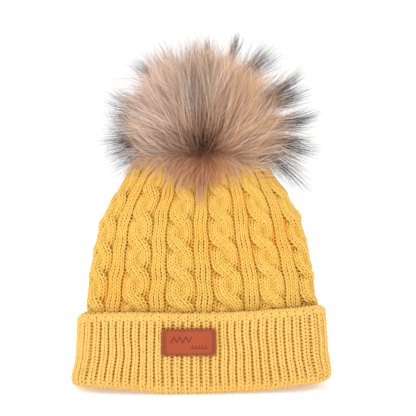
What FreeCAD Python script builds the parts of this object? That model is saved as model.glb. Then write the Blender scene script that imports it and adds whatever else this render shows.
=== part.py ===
import FreeCAD, Part
import math
import os

# Pom pom beanie: a cable-knit crown on a ribbed band, a turned-up outer cuff with a leather
# label, and a fur pompom held on the crown's top by a snap fastener.
# Millimetres. Origin: centre of the footprint, on the plane the hat stands on.
# +Z up, the label faces -Y, the wearer's left-right axis is X.

V = FreeCAD.Vector
os.makedirs("parts", exist_ok=True)

# ---------------------------------------------------------------- driving dimensions
CUFF_H = 61.0            # height of the turned-up cuff
CUFF_T = 6.0             # thickness of one ribbed layer
CUFF_IN_A = 96.2         # cuff's inner half-width (X)
CUFF_IN_B = 50.3         # cuff's inner half-depth (Y)
CUFF_N = 4.0             # how boxy the cuff's section is: 2 is an ellipse
CUFF_FLARE = 3.2         # how much wider the cuff is near the fold
FOLD_H = 5.0             # height of the fold's ledge under the inner band
GAP = 0.3                # clearance between cuff and inner band

BAND_T = 5.0             # thickness of the inner ribbed layer
BAND_A = CUFF_IN_A - GAP # inner band's outer half-width
BAND_B = CUFF_IN_B - GAP

# crown's outer profile: height, half-width, half-depth, boxiness of the section
CROWN = [
    (CUFF_H, 95.0, 48.5, 3.7),
    (75.0, 94.4, 50.0, 3.5),
    (90.0, 93.1, 51.0, 3.25),
    (105.0, 90.8, 51.2, 3.0),
    (122.0, 87.5, 50.2, 2.8),
    (140.0, 82.4, 48.4, 2.6),
    (152.0, 76.4, 46.0, 2.5),
    (164.0, 69.8, 43.2, 2.38),
    (174.0, 63.2, 40.2, 2.25),
    (182.0, 56.0, 36.6, 2.15),
    (189.0, 46.6, 31.6, 2.05),
    (194.5, 34.5, 25.0, 2.0),
    (197.6, 22.5, 18.5, 2.0),
    (199.0, 13.0, 12.0, 2.0),
]
CROWN_T = 4.5            # thickness of the knit
CROWN_TOP = 199.0
CROWN_HOLE_R = 2.2       # hole for the snap's post

LABEL_W = 41.0           # leather label
LABEL_H = 20.0
LABEL_T = 1.8
LABEL_X = -9.5
LABEL_Z = 40.0
LABEL_R = 2.0

SNAP_Z = CROWN_TOP       # the stud's flange rests on the crown's top
STUD_HEAD_R = 3.4
STUD_NECK_R = 2.9
POST_R = 2.1
RING_R = 4.05            # ring spring, centre line radius
RING_WIRE = 0.35
SOCKET_R = 6.0
SOCKET_BORE = 3.7
DISC_R = 8.0
CAP_R = 6.0

PIVOT_Z = 205.0          # the pompom leans about this height
MOUTH_Z = 209.0          # plane of the pelt's gathered mouth
PELT_R = 20.0
PELT_T = 1.6
MOUTH_R = 11.0
FUR_A = 80.0             # fur: half-width
FUR_B = 80.0             # fur: half-depth
FUR_C = 57.0             # fur: half-height
FUR_Z = 231.0            # fur: centre height
FUR_EDGE_DROP = 19.0     # how much lower the fur's underside is at its edge


# ---------------------------------------------------------------- helpers
def section(a, b, z, n):
    """Closed curve |x/a|^n + |y/b|^n = 1 at height z."""
    pts = []
    for k in range(40):
        t = 2 * math.pi * k / 40
        c, d = math.cos(t), math.sin(t)
        r = (abs(c) ** n + abs(d) ** n) ** (-1.0 / n)
        pts.append(V(a * r * c, b * r * d, z))
    curve = Part.BSplineCurve()
    curve.interpolate(Points=pts, PeriodicFlag=True)
    return Part.Wire([curve.toShape()])


def loft(rows, n=None):
    return Part.makeLoft([section(r[1], r[2], r[0], r[3] if n is None else n) for r in rows], True, False)


def cyl(r, z0, z1, x=0.0, y=0.0):
    return Part.makeCylinder(r, z1 - z0, V(x, y, z0))


def ring(r_in, r_out, z0, z1):
    return cyl(r_out, z0, z1).cut(cyl(r_in, z0 - 1, z1 + 1))


def save(name, shape):
    shape = shape.removeSplitter() if shape.ShapeType != "Compound" else shape
    solids = shape.Solids
    out = solids[0] if len(solids) == 1 else Part.makeCompound(solids)
    out.exportStep("parts/%s.step" % name)
    bb = out.BoundBox
    print("%-20s solids %2d valid %s vol %10.1f  x %7.1f %7.1f  y %7.1f %7.1f  z %7.1f %7.1f" % (
        name, len(solids), out.isValid(), out.Volume, bb.XMin, bb.XMax, bb.YMin, bb.YMax, bb.ZMin, bb.ZMax))
    return out


# ---------------------------------------------------------------- cuff
def cuff_outer_rows(grow):
    a0, b0 = CUFF_IN_A + CUFF_T, CUFF_IN_B + CUFF_T
    f = CUFF_FLARE
    rows = [
        (0.0, a0 + f - 5.2, b0 + f - 5.2),
        (1.2, a0 + f - 2.4, b0 + f - 2.4),
        (3.4, a0 + f - 0.6, b0 + f - 0.6),
        (8.0, a0 + f, b0 + f),
        (16.0, a0 + 0.66 * f, b0 + 0.80 * f),
        (27.0, a0 + 0.16 * f, b0 + 0.45 * f),
        (42.0, a0, b0 + 0.12 * f),
        (57.0, a0 - 0.2, b0 - 0.2),
        (59.6, a0 - 1.2, b0 - 1.2),
        (CUFF_H, a0 - 3.0, b0 - 3.0),
    ]
    return [(z, a + grow, b + grow) for z, a, b in rows]


cuff_body = loft(cuff_outer_rows(0.0), CUFF_N)
cuff_bore = loft([(FOLD_H, CUFF_IN_A, CUFF_IN_B), (CUFF_H + 2.0, CUFF_IN_A, CUFF_IN_B)], CUFF_N)
fold_bore = loft([
    (-1.0, BAND_A - BAND_T + 2.2, BAND_B - BAND_T + 2.2),
    (2.0, BAND_A - BAND_T + 0.4, BAND_B - BAND_T + 0.4),
    (FOLD_H + 1.0, BAND_A - BAND_T, BAND_B - BAND_T),
], CUFF_N)
cuff = cuff_body.cut(cuff_bore).cut(fold_bore)
save("cuff_outer", cuff)

# ---------------------------------------------------------------- label on the cuff
grown = loft(cuff_outer_rows(LABEL_T), CUFF_N)
block = Part.makeBox(LABEL_W, 40.0, LABEL_H, V(LABEL_X - LABEL_W / 2, -90.0, LABEL_Z - LABEL_H / 2))
edges = [e for e in block.Edges
         if abs(e.Vertexes[0].X - e.Vertexes[1].X) < 1e-6 and abs(e.Vertexes[0].Z - e.Vertexes[1].Z) < 1e-6]
block = block.makeFillet(LABEL_R, edges)
label = grown.common(block).cut(cuff_body)
save("label_patch", label)

# stitches: short thread bars that lie on the label's face, close to its left and right edges
stitches = []
for side in (-1, 1):
    x = LABEL_X + side * (LABEL_W / 2 - 2.2)
    for k in range(5):
        z = LABEL_Z + (k - 2) * 3.4
        y = -90.0
        hit = Part.makeLine(V(x, -90, z), V(x, 0, z)).common(label)
        if hit.Edges:
            y = min(v.Y for v in hit.Vertexes)
        bar = Part.makeCylinder(0.45, 2.2, V(x, y - 0.1, z - 1.1), V(0, 0, 1))
        stitches.append(bar.cut(label).cut(cuff_body))
save("label_stitches", Part.makeCompound([s for b in stitches for s in b.Solids]))

# ---------------------------------------------------------------- inner band and what is sewn to it
Z_BAND = FOLD_H + GAP
band = loft([(Z_BAND, BAND_A, BAND_B), (CUFF_H, BAND_A, BAND_B)], CUFF_N).cut(
    loft([(Z_BAND - 1, BAND_A - BAND_T, BAND_B - BAND_T), (CUFF_H + 1, BAND_A - BAND_T, BAND_B - BAND_T)], CUFF_N))
save("rib_band_inner", band)

y_in = BAND_B - BAND_T
seam = Part.makeBox(3.0, 3.0, CUFF_H - Z_BAND - 3.0, V(-1.5, y_in - 1.2, Z_BAND + 1.5))
seam = seam.cut(band)
save("back_seam_yarn", max(seam.Solids, key=lambda s: -s.CenterOfMass.y))

tag = Part.makeBox(24.0, 4.0, 36.0, V(5.0, y_in - 2.4, 20.0)).cut(
    loft([(Z_BAND - 1, BAND_A - BAND_T - 0.7, y_in - 0.7), (CUFF_H + 1, BAND_A - BAND_T - 0.7, y_in - 0.7)], CUFF_N))
tag = tag.common(loft([(Z_BAND - 1, BAND_A - BAND_T, y_in), (CUFF_H + 1, BAND_A - BAND_T, y_in)], CUFF_N))
save("care_label", tag)

# ---------------------------------------------------------------- crown
crown_out = loft(CROWN)
inner = []
for z, a, b, n in CROWN[:-3]:
    dz = 0.0 if z < 120 else (z - 120.0) * 0.035
    inner.append((z - dz if z > CUFF_H else CUFF_H - 1.0, a - CROWN_T, b - CROWN_T, n))
inner += [(190.8, 25.0, 19.0, 2.0), (193.6, 15.0, 13.0, 2.0), (194.5, 11.0, 10.0, 2.0)]
crown_in = loft(inner)
crown = crown_out.cut(crown_in).cut(cyl(CROWN_HOLE_R, 180, 210))
save("crown_knit", crown)

torus = Part.makeTorus(12.4, 0.9, V(0, 0, 192.6)).cut(crown)
save("crown_gather_thread", max(torus.Solids, key=lambda s: s.Volume))

# ---------------------------------------------------------------- snap fastener
save("felt_washer", ring(CROWN_HOLE_R, 9.0, 193.0, 194.5))
cap_in = cyl(6.5, 191.6, 193.0)
rim = [e for e in cap_in.Edges if abs(e.BoundBox.ZMax - 191.6) < 1e-6 and e.BoundBox.ZLength < 1e-6]
cap_in = cap_in.makeFillet(0.9, rim)
save("snap_post_cap", cap_in.fuse(cyl(POST_R, 192.5, 201.0)))

stud = cyl(5.5, SNAP_Z, SNAP_Z + 0.8).fuse(cyl(STUD_NECK_R, SNAP_Z + 0.8, SNAP_Z + 2.6))
head = cyl(STUD_HEAD_R, SNAP_Z + 2.6, SNAP_Z + 4.0)
head = head.makeFillet(0.6, [e for e in head.Edges if e.BoundBox.ZLength < 1e-6])
stud = stud.fuse(head).cut(cyl(POST_R, SNAP_Z - 1, 201.0))
save("snap_stud", stud)

RING_Z = SNAP_Z + 2.1
save("snap_ring_spring", Part.makeTorus(RING_R, RING_WIRE, V(0, 0, RING_Z)))

socket = ring(SOCKET_BORE, SOCKET_R, SNAP_Z + 1.1, 203.6).fuse(ring(1.5, SOCKET_R, 203.6, 204.4))
socket = socket.cut(ring(3.0, RING_R + RING_WIRE + 0.2, RING_Z - RING_WIRE - 0.05, RING_Z + RING_WIRE + 0.05))
save("snap_socket", socket)

save("pompom_base_disc", ring(1.5, DISC_R, 204.4, 205.8))
cap_out = cyl(CAP_R, 205.8, 206.6)
cap_out = cap_out.makeFillet(0.4, [e for e in cap_out.Edges
                                   if abs(e.BoundBox.ZMin - 206.6) < 1e-6 and e.BoundBox.ZLength < 1e-6])
save("snap_socket_cap", cap_out.fuse(cyl(1.5, 203.9, 206.0)))

# ---------------------------------------------------------------- pompom
ball_z = MOUTH_Z + math.sqrt(PELT_R ** 2 - MOUTH_R ** 2)
above = Part.makeBox(400, 400, 300, V(-200, -200, MOUTH_Z))
ball = Part.makeSphere(PELT_R, V(0, 0, ball_z)).common(above)
core = Part.makeSphere(PELT_R - PELT_T, V(0, 0, ball_z)).common(above)
save("pompom_pelt", ball.cut(core))
save("pompom_stuffing", core)
thread = Part.makeTorus(9.2, 0.7, V(0, 0, MOUTH_Z - 0.55)).cut(above)
save("pompom_draw_thread", thread)

sphere = Part.makeSphere(1.0)
m = FreeCAD.Matrix()
m.A11, m.A22, m.A33, m.A34 = FUR_A, FUR_B, FUR_C, FUR_Z
fur = sphere.transformGeometry(m)
# underside: a shallow cone falling from the pelt's mouth to the fur's edge
r1, z1 = 100.0, MOUTH_Z - FUR_EDGE_DROP * (100.0 - MOUTH_R) / (75.0 - MOUTH_R)
cone = Part.makeCone(r1, MOUTH_R, MOUTH_Z - z1, V(0, 0, z1), V(0, 0, 1))
low = cone.fuse(cyl(r1, z1 - 80.0, z1))
fur = fur.cut(low).cut(cyl(MOUTH_R, MOUTH_Z - 5, MOUTH_Z + 1)).cut(ball)
fur = max(fur.Solids, key=lambda s: s.Volume)
save("pompom_fur", fur)
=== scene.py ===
import math
import bpy
import numpy as np
from mathutils import Matrix, Vector
from mathutils.kdtree import KDTree


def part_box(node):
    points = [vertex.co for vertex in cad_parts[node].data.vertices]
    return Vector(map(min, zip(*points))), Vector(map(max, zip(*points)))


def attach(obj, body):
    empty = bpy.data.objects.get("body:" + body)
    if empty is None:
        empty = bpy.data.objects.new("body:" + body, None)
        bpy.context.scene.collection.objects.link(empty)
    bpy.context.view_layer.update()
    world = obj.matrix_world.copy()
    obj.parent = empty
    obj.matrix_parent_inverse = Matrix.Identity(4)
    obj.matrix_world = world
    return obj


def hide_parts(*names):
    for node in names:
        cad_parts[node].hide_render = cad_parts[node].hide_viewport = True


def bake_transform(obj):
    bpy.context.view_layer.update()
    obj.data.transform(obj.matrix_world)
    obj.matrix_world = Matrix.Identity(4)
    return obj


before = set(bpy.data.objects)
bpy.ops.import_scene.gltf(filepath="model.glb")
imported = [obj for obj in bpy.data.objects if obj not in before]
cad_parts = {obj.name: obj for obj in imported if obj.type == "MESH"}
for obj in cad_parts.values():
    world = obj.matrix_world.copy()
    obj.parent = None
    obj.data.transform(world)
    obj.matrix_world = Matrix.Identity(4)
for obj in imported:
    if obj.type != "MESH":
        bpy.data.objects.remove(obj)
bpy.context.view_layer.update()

RNG = np.random.default_rng(20240611)
MM = 0.001

# ------------------------------------------------------------------------------------------------
# camera first: the hat seen straight from the front, from just under half its height
# ------------------------------------------------------------------------------------------------
cam_data = bpy.data.cameras.new("camera")
cam = bpy.data.objects.new("camera", cam_data)
bpy.context.scene.collection.objects.link(cam)
bpy.context.scene.camera = cam
CAM_X, CAM_DIST, CAM_H = 6.2, 600.0, 100.0           # millimetres from the hat's middle plane, and above the floor
PX = 0.853                               # millimetres per picture pixel in the hat's middle plane
PITCH, ROLL = 4.47, -0.6
cam_data.sensor_width = 36.0
cam_data.lens = 36.0 * CAM_DIST / (416 * PX)
cam.matrix_world = (Matrix.Translation((CAM_X * MM, -CAM_DIST * MM, CAM_H * MM))
                    @ Matrix.Rotation(math.radians(90 + PITCH), 4, "X") @ Matrix.Rotation(math.radians(ROLL), 4, "Z"))
cam_data.clip_start, cam_data.clip_end = 0.02, 40.0
cam_data.dof.use_dof = False


# ------------------------------------------------------------------------------------------------
# small tools
# ------------------------------------------------------------------------------------------------
def smooth01(x):
    x = np.clip(x, 0.0, 1.0)
    return x * x * (3 - 2 * x)


def pchip(x, y, q):
    """Monotone cubic interpolation."""
    x, y, q = np.asarray(x, float), np.asarray(y, float), np.asarray(q, float)
    h = np.diff(x)
    d = np.diff(y) / h
    m = np.zeros_like(y)
    for i in range(1, len(x) - 1):
        if d[i - 1] * d[i] > 0:
            w1, w2 = 2 * h[i] + h[i - 1], h[i] + 2 * h[i - 1]
            m[i] = (w1 + w2) / (w1 / d[i - 1] + w2 / d[i])
    m[0], m[-1] = d[0], d[-1]
    k = np.clip(np.searchsorted(x, q) - 1, 0, len(h) - 1)
    t = (q - x[k]) / h[k]
    return ((1 + 2 * t) * (1 - t) ** 2 * y[k] + t * (1 - t) ** 2 * h[k] * m[k]
            + t * t * (3 - 2 * t) * y[k + 1] + t * t * (t - 1) * h[k] * m[k + 1])


def wave_noise(p, seed, octaves=3, size=1.0):
    """Smooth noise from a few random sine waves: p is (..., k) in millimetres, size the largest wavelength."""
    r = np.random.default_rng(seed)
    out = np.zeros(p.shape[:-1])
    amp, tot = 1.0, 0.0
    for o in range(octaves):
        for _ in range(5):
            d = r.normal(size=p.shape[-1])
            d /= np.linalg.norm(d)
            f = 2 * math.pi / (size / (1.9 ** o) * r.uniform(0.75, 1.35))
            out += amp * np.sin(p @ d * f + r.uniform(0, 6.283))
        tot += amp * 1.6
        amp *= 0.55
    return out / tot


def add_mesh(name, verts, quads, uv=None, bake_uv=None, attrs=None, smooth=True, tris=None, mats=None, mat_index=None):
    """verts in millimetres. quads (M,4), tris (K,3); uv and bake_uv are per loop, (loops, 2)."""
    me = bpy.data.meshes.new(name)
    verts = np.ascontiguousarray(verts, np.float32) * MM
    me.vertices.add(len(verts))
    me.vertices.foreach_set("co", verts.ravel())
    parts, starts, n = [], [], 0
    if quads is not None and len(quads):
        parts.append(np.asarray(quads, np.int32).ravel())
        starts.append(np.arange(len(quads)) * 4)
        n = len(quads) * 4
    if tris is not None and len(tris):
        parts.append(np.asarray(tris, np.int32).ravel())
        starts.append(n + np.arange(len(tris)) * 3)
    loops, starts = np.concatenate(parts), np.concatenate(starts).astype(np.int32)
    me.loops.add(len(loops))
    me.loops.foreach_set("vertex_index", loops)
    me.polygons.add(len(starts))
    me.polygons.foreach_set("loop_start", starts)
    me.polygons.foreach_set("use_smooth", np.full(len(starts), smooth))
    if mat_index is not None:
        me.polygons.foreach_set("material_index", np.asarray(mat_index, np.int32))
    me.update(calc_edges=True)
    if uv is not None:
        layer = me.uv_layers.new(name="UVMap")
        layer.data.foreach_set("uv", np.ascontiguousarray(uv, np.float32).ravel())
    if bake_uv is not None:
        layer = me.uv_layers.new(name="OFBake")
        layer.data.foreach_set("uv", np.ascontiguousarray(bake_uv, np.float32).ravel())
        me.uv_layers["UVMap"].active_render = True
    for key, val in (attrs or {}).items():
        val = np.asarray(val, np.float32)
        if val.ndim == 2:
            a = me.attributes.new(key, "FLOAT_COLOR", "POINT")
            rgba = np.ones((len(val), 4), np.float32)
            rgba[:, :val.shape[1]] = val
            a.data.foreach_set("color", rgba.ravel())
        else:
            a = me.attributes.new(key, "FLOAT", "POINT")
            a.data.foreach_set("value", val)
    ob = bpy.data.objects.new(name, me)
    bpy.context.scene.collection.objects.link(ob)
    for m in (mats or []):
        me.materials.append(m)
    return ob


def unit(v):
    return v / np.maximum(np.linalg.norm(v, axis=-1, keepdims=True), 1e-9)


def tubes(path, normal, radius, sides=5, closed=True, flat=1.0):
    """Sweeps circles along many paths at once. path and normal are (R, n, 3), radius (R, n).
    Returns vertices, quads and per-loop (length, around) coordinates."""
    R, n, _ = path.shape
    if closed:
        nxt, prv = np.roll(path, -1, 1), np.roll(path, 1, 1)
    else:
        nxt = np.concatenate([path[:, 1:], 2 * path[:, -1:] - path[:, -2:-1]], 1)
        prv = np.concatenate([2 * path[:, :1] - path[:, 1:2], path[:, :-1]], 1)
    tan = unit(nxt - prv)
    side = unit(np.cross(tan, normal))
    up = np.cross(side, tan)
    ang = np.arange(sides) * 2 * math.pi / sides
    ca, sa = np.cos(ang), np.sin(ang)
    verts = (path[:, :, None, :] + radius[:, :, None, None]
             * (side[:, :, None, :] * ca[None, None, :, None] + up[:, :, None, :] * (sa * flat)[None, None, :, None]))
    idx = np.arange(R * n * sides).reshape(R, n, sides)
    if closed:
        a, b = idx, np.roll(idx, -1, 1)
    else:
        a, b = idx[:, :-1], idx[:, 1:]
    a2, b2 = np.roll(a, -1, 2), np.roll(b, -1, 2)
    quads = np.stack([a, b, b2, a2], -1)
    seg = np.linalg.norm(nxt - path, axis=-1)
    length = np.concatenate([np.zeros((R, 1)), np.cumsum(seg, 1)], 1)
    m = quads.shape[1]
    l0, l1 = length[:, :m], length[:, 1:m + 1]
    k = np.arange(sides)
    uv = np.empty((R, m, sides, 4, 2))
    uv[..., 0, 0] = uv[..., 3, 0] = l0[:, :, None]
    uv[..., 1, 0] = uv[..., 2, 0] = l1[:, :, None]
    uv[..., 0, 1] = uv[..., 1, 1] = (k / sides)[None, None, :]
    uv[..., 2, 1] = uv[..., 3, 1] = ((k + 1) / sides)[None, None, :]
    return verts.reshape(-1, 3), quads.reshape(-1, 4), uv.reshape(-1, 2)


def strip_uv(rows, m, sides):
    """Bake coordinates for tubes: every path is cut into strips that are laid side by side, one cell per quad."""
    total = rows * m
    per = max(8, int(round(math.sqrt(total * (sides + 1) / 1.0))))
    q = np.arange(total)
    strip, pos = q // per, q % per
    nstrip = int(strip.max()) + 1
    x0, x1 = pos / per, (pos + 1) / per
    h = 1.0 / nstrip
    k = np.arange(sides)
    lo = strip[:, None] * h + h * (0.5 + k)[None, :] / (sides + 1)
    hi = strip[:, None] * h + h * (1.5 + k)[None, :] / (sides + 1)
    uv = np.empty((total, sides, 4, 2))
    uv[:, :, 0, 0] = uv[:, :, 3, 0] = x0[:, None]
    uv[:, :, 1, 0] = uv[:, :, 2, 0] = x1[:, None]
    uv[:, :, 0, 1] = uv[:, :, 1, 1] = lo
    uv[:, :, 2, 1] = uv[:, :, 3, 1] = hi
    return uv.reshape(-1, 2)


# ------------------------------------------------------------------------------------------------
# surfaces the knit lies on: stacks of closed sections, even arc length round each
# ------------------------------------------------------------------------------------------------
class Surface:
    """rows: along, z, half-width, half-depth, boxiness. u in 0..1 runs round from the front's middle towards +X."""
    NU, NV = 1536, 260

    def __init__(self, rows, nv=None):
        rows = np.asarray(rows, float)
        nv = nv or self.NV
        q = np.linspace(rows[0, 0], rows[-1, 0], nv)
        z, a, b, n = (pchip(rows[:, 0], rows[:, k], q) for k in (1, 2, 3, 4))
        t = np.linspace(-math.pi / 2, 1.5 * math.pi, 2049)
        c, s = np.cos(t)[None], np.sin(t)[None]
        N = n[:, None]
        r = (np.abs(c) ** N + np.abs(s) ** N) ** (-1 / N)
        x, y = a[:, None] * r * c, b[:, None] * r * s
        arc = np.concatenate([np.zeros((nv, 1)), np.cumsum(np.hypot(np.diff(x), np.diff(y)), 1)], 1)
        self.girth = arc[:, -1]
        u = np.linspace(0, 1, self.NU + 1)
        P = np.empty((nv, self.NU + 1, 3))
        for i in range(nv):
            f = arc[i] / arc[i, -1]
            P[i, :, 0] = np.interp(u, f, x[i])
            P[i, :, 1] = np.interp(u, f, y[i])
            P[i, :, 2] = z[i]
        du = np.roll(P[:, :-1], -1, 1) - np.roll(P[:, :-1], 1, 1)
        du = np.concatenate([du, du[:, :1]], 1)
        dv = np.gradient(P, axis=0)
        N3 = unit(np.cross(du, dv))
        self.P, self.N = P, N3
        self.q0, self.q1, self.nv = q[0], q[-1], nv
        mid = np.sqrt(np.gradient((a + b) / 2) ** 2 + np.gradient(z) ** 2)
        self.arc_v = np.concatenate([[0], np.cumsum((mid[1:] + mid[:-1]) / 2)])
        self.q = q

    def at(self, u, q, d):
        u = np.mod(u, 1.0) * self.NU
        v = np.clip((q - self.q0) / (self.q1 - self.q0) * (self.nv - 1), 0, self.nv - 1.0001)
        i, j = v.astype(int), u.astype(int)
        fv, fu = (v - i)[..., None], (u - j)[..., None]
        j = np.minimum(j, self.NU - 1)

        def mix(A):
            return ((A[i, j] * (1 - fu) + A[i, j + 1] * fu) * (1 - fv)
                    + (A[i + 1, j] * (1 - fu) + A[i + 1, j + 1] * fu) * fv)
        n = unit(mix(self.N))
        return mix(self.P) + n * d[..., None], n

    def length_to_q(self, s):
        return np.interp(s, self.arc_v, self.q)


# ------------------------------------------------------------------------------------------------
# knitting
# ------------------------------------------------------------------------------------------------
def loop_shape(K, a=0.23, b=-0.018):
    """One stitch along its course: offsets along the wale's width, along the rows, and out of the fabric."""
    t = -math.pi + (np.arange(K) + 0.5) * 2 * math.pi / K
    return t / (2 * math.pi) + a * np.sin(2 * t) + b * np.sin(t), np.cos(t), -np.cos(2 * t)


def with_q(rows):
    """Adds the distance along the fabric as the first column."""
    rows = np.asarray(rows, float)
    mid = (rows[:, 1] + rows[:, 2]) / 2
    q = np.concatenate([[0], np.cumsum(np.hypot(np.diff(mid), np.diff(rows[:, 0])))])
    return np.column_stack([q, rows])


def knit_rings(surface, j0, j1, K, u, v, d, q_of_v, radius, sides, seed, jitter=0.10):
    """u, v, d, radius: (rows, wales, K) with d and radius in millimetres. Returns the points, normals and radii of the
    rings j0..j1.
    """
    R, W = u.shape[0], u.shape[1]
    r = np.random.default_rng(seed)
    d = d + r.normal(size=(R, W, 1)) * jitter
    v = v + r.normal(size=(R, W, 1)) * 0.03
    radius = radius * (1 + 0.05 * r.normal(size=(R, W, 1)).clip(-2, 2))
    U, V, D, RR = (x.reshape(R, W * K) for x in (u, v, d, radius))
    p, n = surface.at(U, q_of_v(V), D)
    return p, n, RR


# --- the crown -----------------------------------------------------------------------------------
D_CROWN = 2.7
CROWN = [
    (56.5, 94.6, 48.0, 3.75), (61.0, 95.1, 48.5, 3.7), (75.0, 94.5, 50.0, 3.5), (90.0, 93.2, 51.0, 3.25),
    (105.0, 90.9, 51.2, 3.0), (122.0, 87.6, 50.2, 2.8), (140.0, 82.5, 48.4, 2.6), (152.0, 76.5, 46.0, 2.5),
    (164.0, 69.9, 43.2, 2.38), (174.0, 63.3, 40.2, 2.25), (182.0, 56.1, 36.6, 2.15), (189.0, 46.7, 31.6, 2.05),
    (194.5, 34.6, 25.0, 2.0), (197.7, 22.5, 18.5, 2.0), (199.2, 13.0, 12.0, 2.0), (199.9, 7.5, 7.5, 2.0),
]


def inset(rows, d):
    """Moves a profile inwards along its own normal (half-width, half-depth and height)."""
    rows = np.asarray(rows, float)
    mid = (rows[:, 1] + rows[:, 2]) / 2
    dz, dm = np.gradient(rows[:, 0]), np.gradient(mid)
    L = np.hypot(dz, dm)
    out = rows.copy()
    out[:, 0] += dm / L * d
    out[:, 1] -= dz / L * d
    out[:, 2] -= dz / L * d
    return out


crown_surface = Surface(with_q(inset(CROWN, D_CROWN)))
CROWN_LEN = crown_surface.arc_v[-1]
N_CROWN = 60
REPEATS = 13
WP, WC, WR = 1.55, 3.84, 3.82
REP_MM = 2 * WP + 6 * WC + 3 * WR
KINDS = ["R", "R", "R", "P", "C", "C", "C", "C", "C", "C", "P"]
WIDTHS = np.array([WR] * 3 + [WP] + [WC] * 6 + [WP])
CENTRES = np.cumsum(WIDTHS) - WIDTHS / 2 - 1.5 * WR          # the middle rib wale is at 0
G0 = np.interp(8.0, crown_surface.q, crown_surface.girth)
WARP = (1 - 35.3 * REPEATS / G0) / (2 * math.pi)
CABLE_ROWS, CABLE_T = 8.0, 3.5


def crown_u(x):
    """Pattern millimetres (REP_MM per repeat) to the surface's 0..1."""
    p = x / REP_MM
    return p / REPEATS - WARP * np.sin(2 * math.pi * p / REPEATS) + 0.0035


def crown_q(v):
    return v / N_CROWN * CROWN_LEN * 0.955


def crown_part(j0, j1, K=10, sides=5):
    ul, vl, dl = loop_shape(K)
    j = np.arange(j0, j1)[:, None, None]
    W = 11 * REPEATS
    i = np.arange(W)[None, :, None]
    rep, c = i // 11, i % 11
    kind = np.array([{"R": 0, "P": 1, "C": 2}[k] for k in KINDS])[c]
    width = WIDTHS[c]
    centre = CENTRES[c] + rep * REP_MM
    ul, vl, dl = ul[None, None], vl[None, None], dl[None, None]
    v = j + 0.5 + 0.74 * vl + 0 * i
    q = crown_q(v)
    scale = np.interp(q, crown_surface.q, crown_surface.girth) / (REPEATS * REP_MM)     # how far the pattern is squeezed
    x = centre + ul * width + 0 * v
    # cables: two strands of three wales that change places every CABLE_ROWS rows
    def cross(k):
        phase = 5.2 + 0.65 * np.sin((k % REPEATS) * 2.4 + 0.6)
        win = np.round((j + 0.5 - phase) / CABLE_ROWS)
        t = v - phase - CABLE_ROWS * win
        return (j + 0.5 - phase) - CABLE_ROWS * win, t, np.cos(math.pi / 2 * np.clip(t / CABLE_T, -1, 1)) ** 2
    tau_j, tau, _ = cross(rep)
    before = cross(rep - 1)[2]
    w = np.clip(tau / CABLE_T, -1, 1)
    s, lift = np.sin(math.pi / 2 * w), np.cos(math.pi / 2 * w) ** 2
    ci = c - 4
    left = ci < 3
    front = np.where(left, tau_j >= 0, tau_j < 0)
    strand_c = np.where(front, -1.0, 1.0) * 1.5 * WC * s                      # front strand runs from lower right to upper left
    cable_mid = rep * REP_MM + CENTRES[4:10].mean()
    m = np.where(left, ci - 1, ci - 4)
    fat = np.where(front, 1 + 0.52 * lift, 1 + 0.84 * lift)
    qs = (m + ul)                                                              # -1.5..1.5 across the strand
    x_c = cable_mid + strand_c + qs * WC * fat
    dome = 1 - (qs / 1.55) ** 2
    d_c = -1.1 + 3.0 * dome - 0.15 * (2 * ul) ** 2 + np.where(front, 2.3, -1.7) * lift
    # the purl wales beside a crossing are drawn in under the cable's waist, and the rib sways with them
    pull = np.choose(c, [0.8 * lift - 1.5 * before, 1.1 * (lift - before), 1.5 * lift - 0.8 * before, 2.1 * lift]
                     + [0 * lift] * 6 + [-2.1 * lift])
    is_c, is_p, is_r = kind == 2, kind == 1, kind == 0
    x = np.where(is_c, x_c, x + pull)
    rib_q = (c - 1 + ul) / 1.5
    d = np.where(is_c, d_c, np.where(is_p, -1.20 - 0.25 * lift, 0.4 + 0.8 * (1 - rib_q ** 2) - 0.45 * (2 * ul) ** 2))
    d = d * np.clip(scale, 0.25, 1.0) ** 0.75
    sign = np.where(is_p, -1.0, 1.0)
    d = d + sign * np.where(is_r, 0.86, 0.74) * dl * np.clip(scale, 0.4, 1)
    # slow unevenness of hand, and the pinch of the cuff at the bottom
    u = crown_u(x)
    ang = np.stack([np.cos(u * 2 * math.pi) * 78, np.sin(u * 2 * math.pi) * 78, q * 1.0 + 0 * u], -1)
    u = u + (wave_noise(ang, 11, 2, 60) * 0.6 + wave_noise(ang, 13, 1, 95) * 1.1) / G0
    d = d + wave_noise(ang, 12, 2, 70) * 0.55 - 1.6 * smooth01((9 - q) / 9)
    r = 1.05 * np.clip(scale * 1.02, 0.3, 1.05) ** 0.5 * np.where(is_p, 0.95, np.where(is_r, 0.93, 1.0)) + 0 * d
    return u, v, d, r


def build_crown(mat):
    out = []
    step = 10
    for n, j0 in enumerate(range(0, N_CROWN, step)):
        j1 = min(j0 + step, N_CROWN)
        u, v, d, r = crown_part(j0, j1)
        p, nrm, rr = knit_rings(crown_surface, j0, j1, 10, u, v, d, crown_q, r, 5, 100 + n)
        verts, quads, uv = tubes(p, nrm, rr, 5)
        # the low attribute is each point's depth in the fabric; the yarn material turns it into painted shade in the
        # hollows and painted light on the crests
        ob = add_mesh("crown_knit_rows_%d" % (n + 1), verts, quads, uv, strip_uv(p.shape[0], p.shape[1], 5),
                      {"low": np.repeat(d.reshape(-1), 5)}, mats=[mat])
        out.append(ob)
    return out


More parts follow.
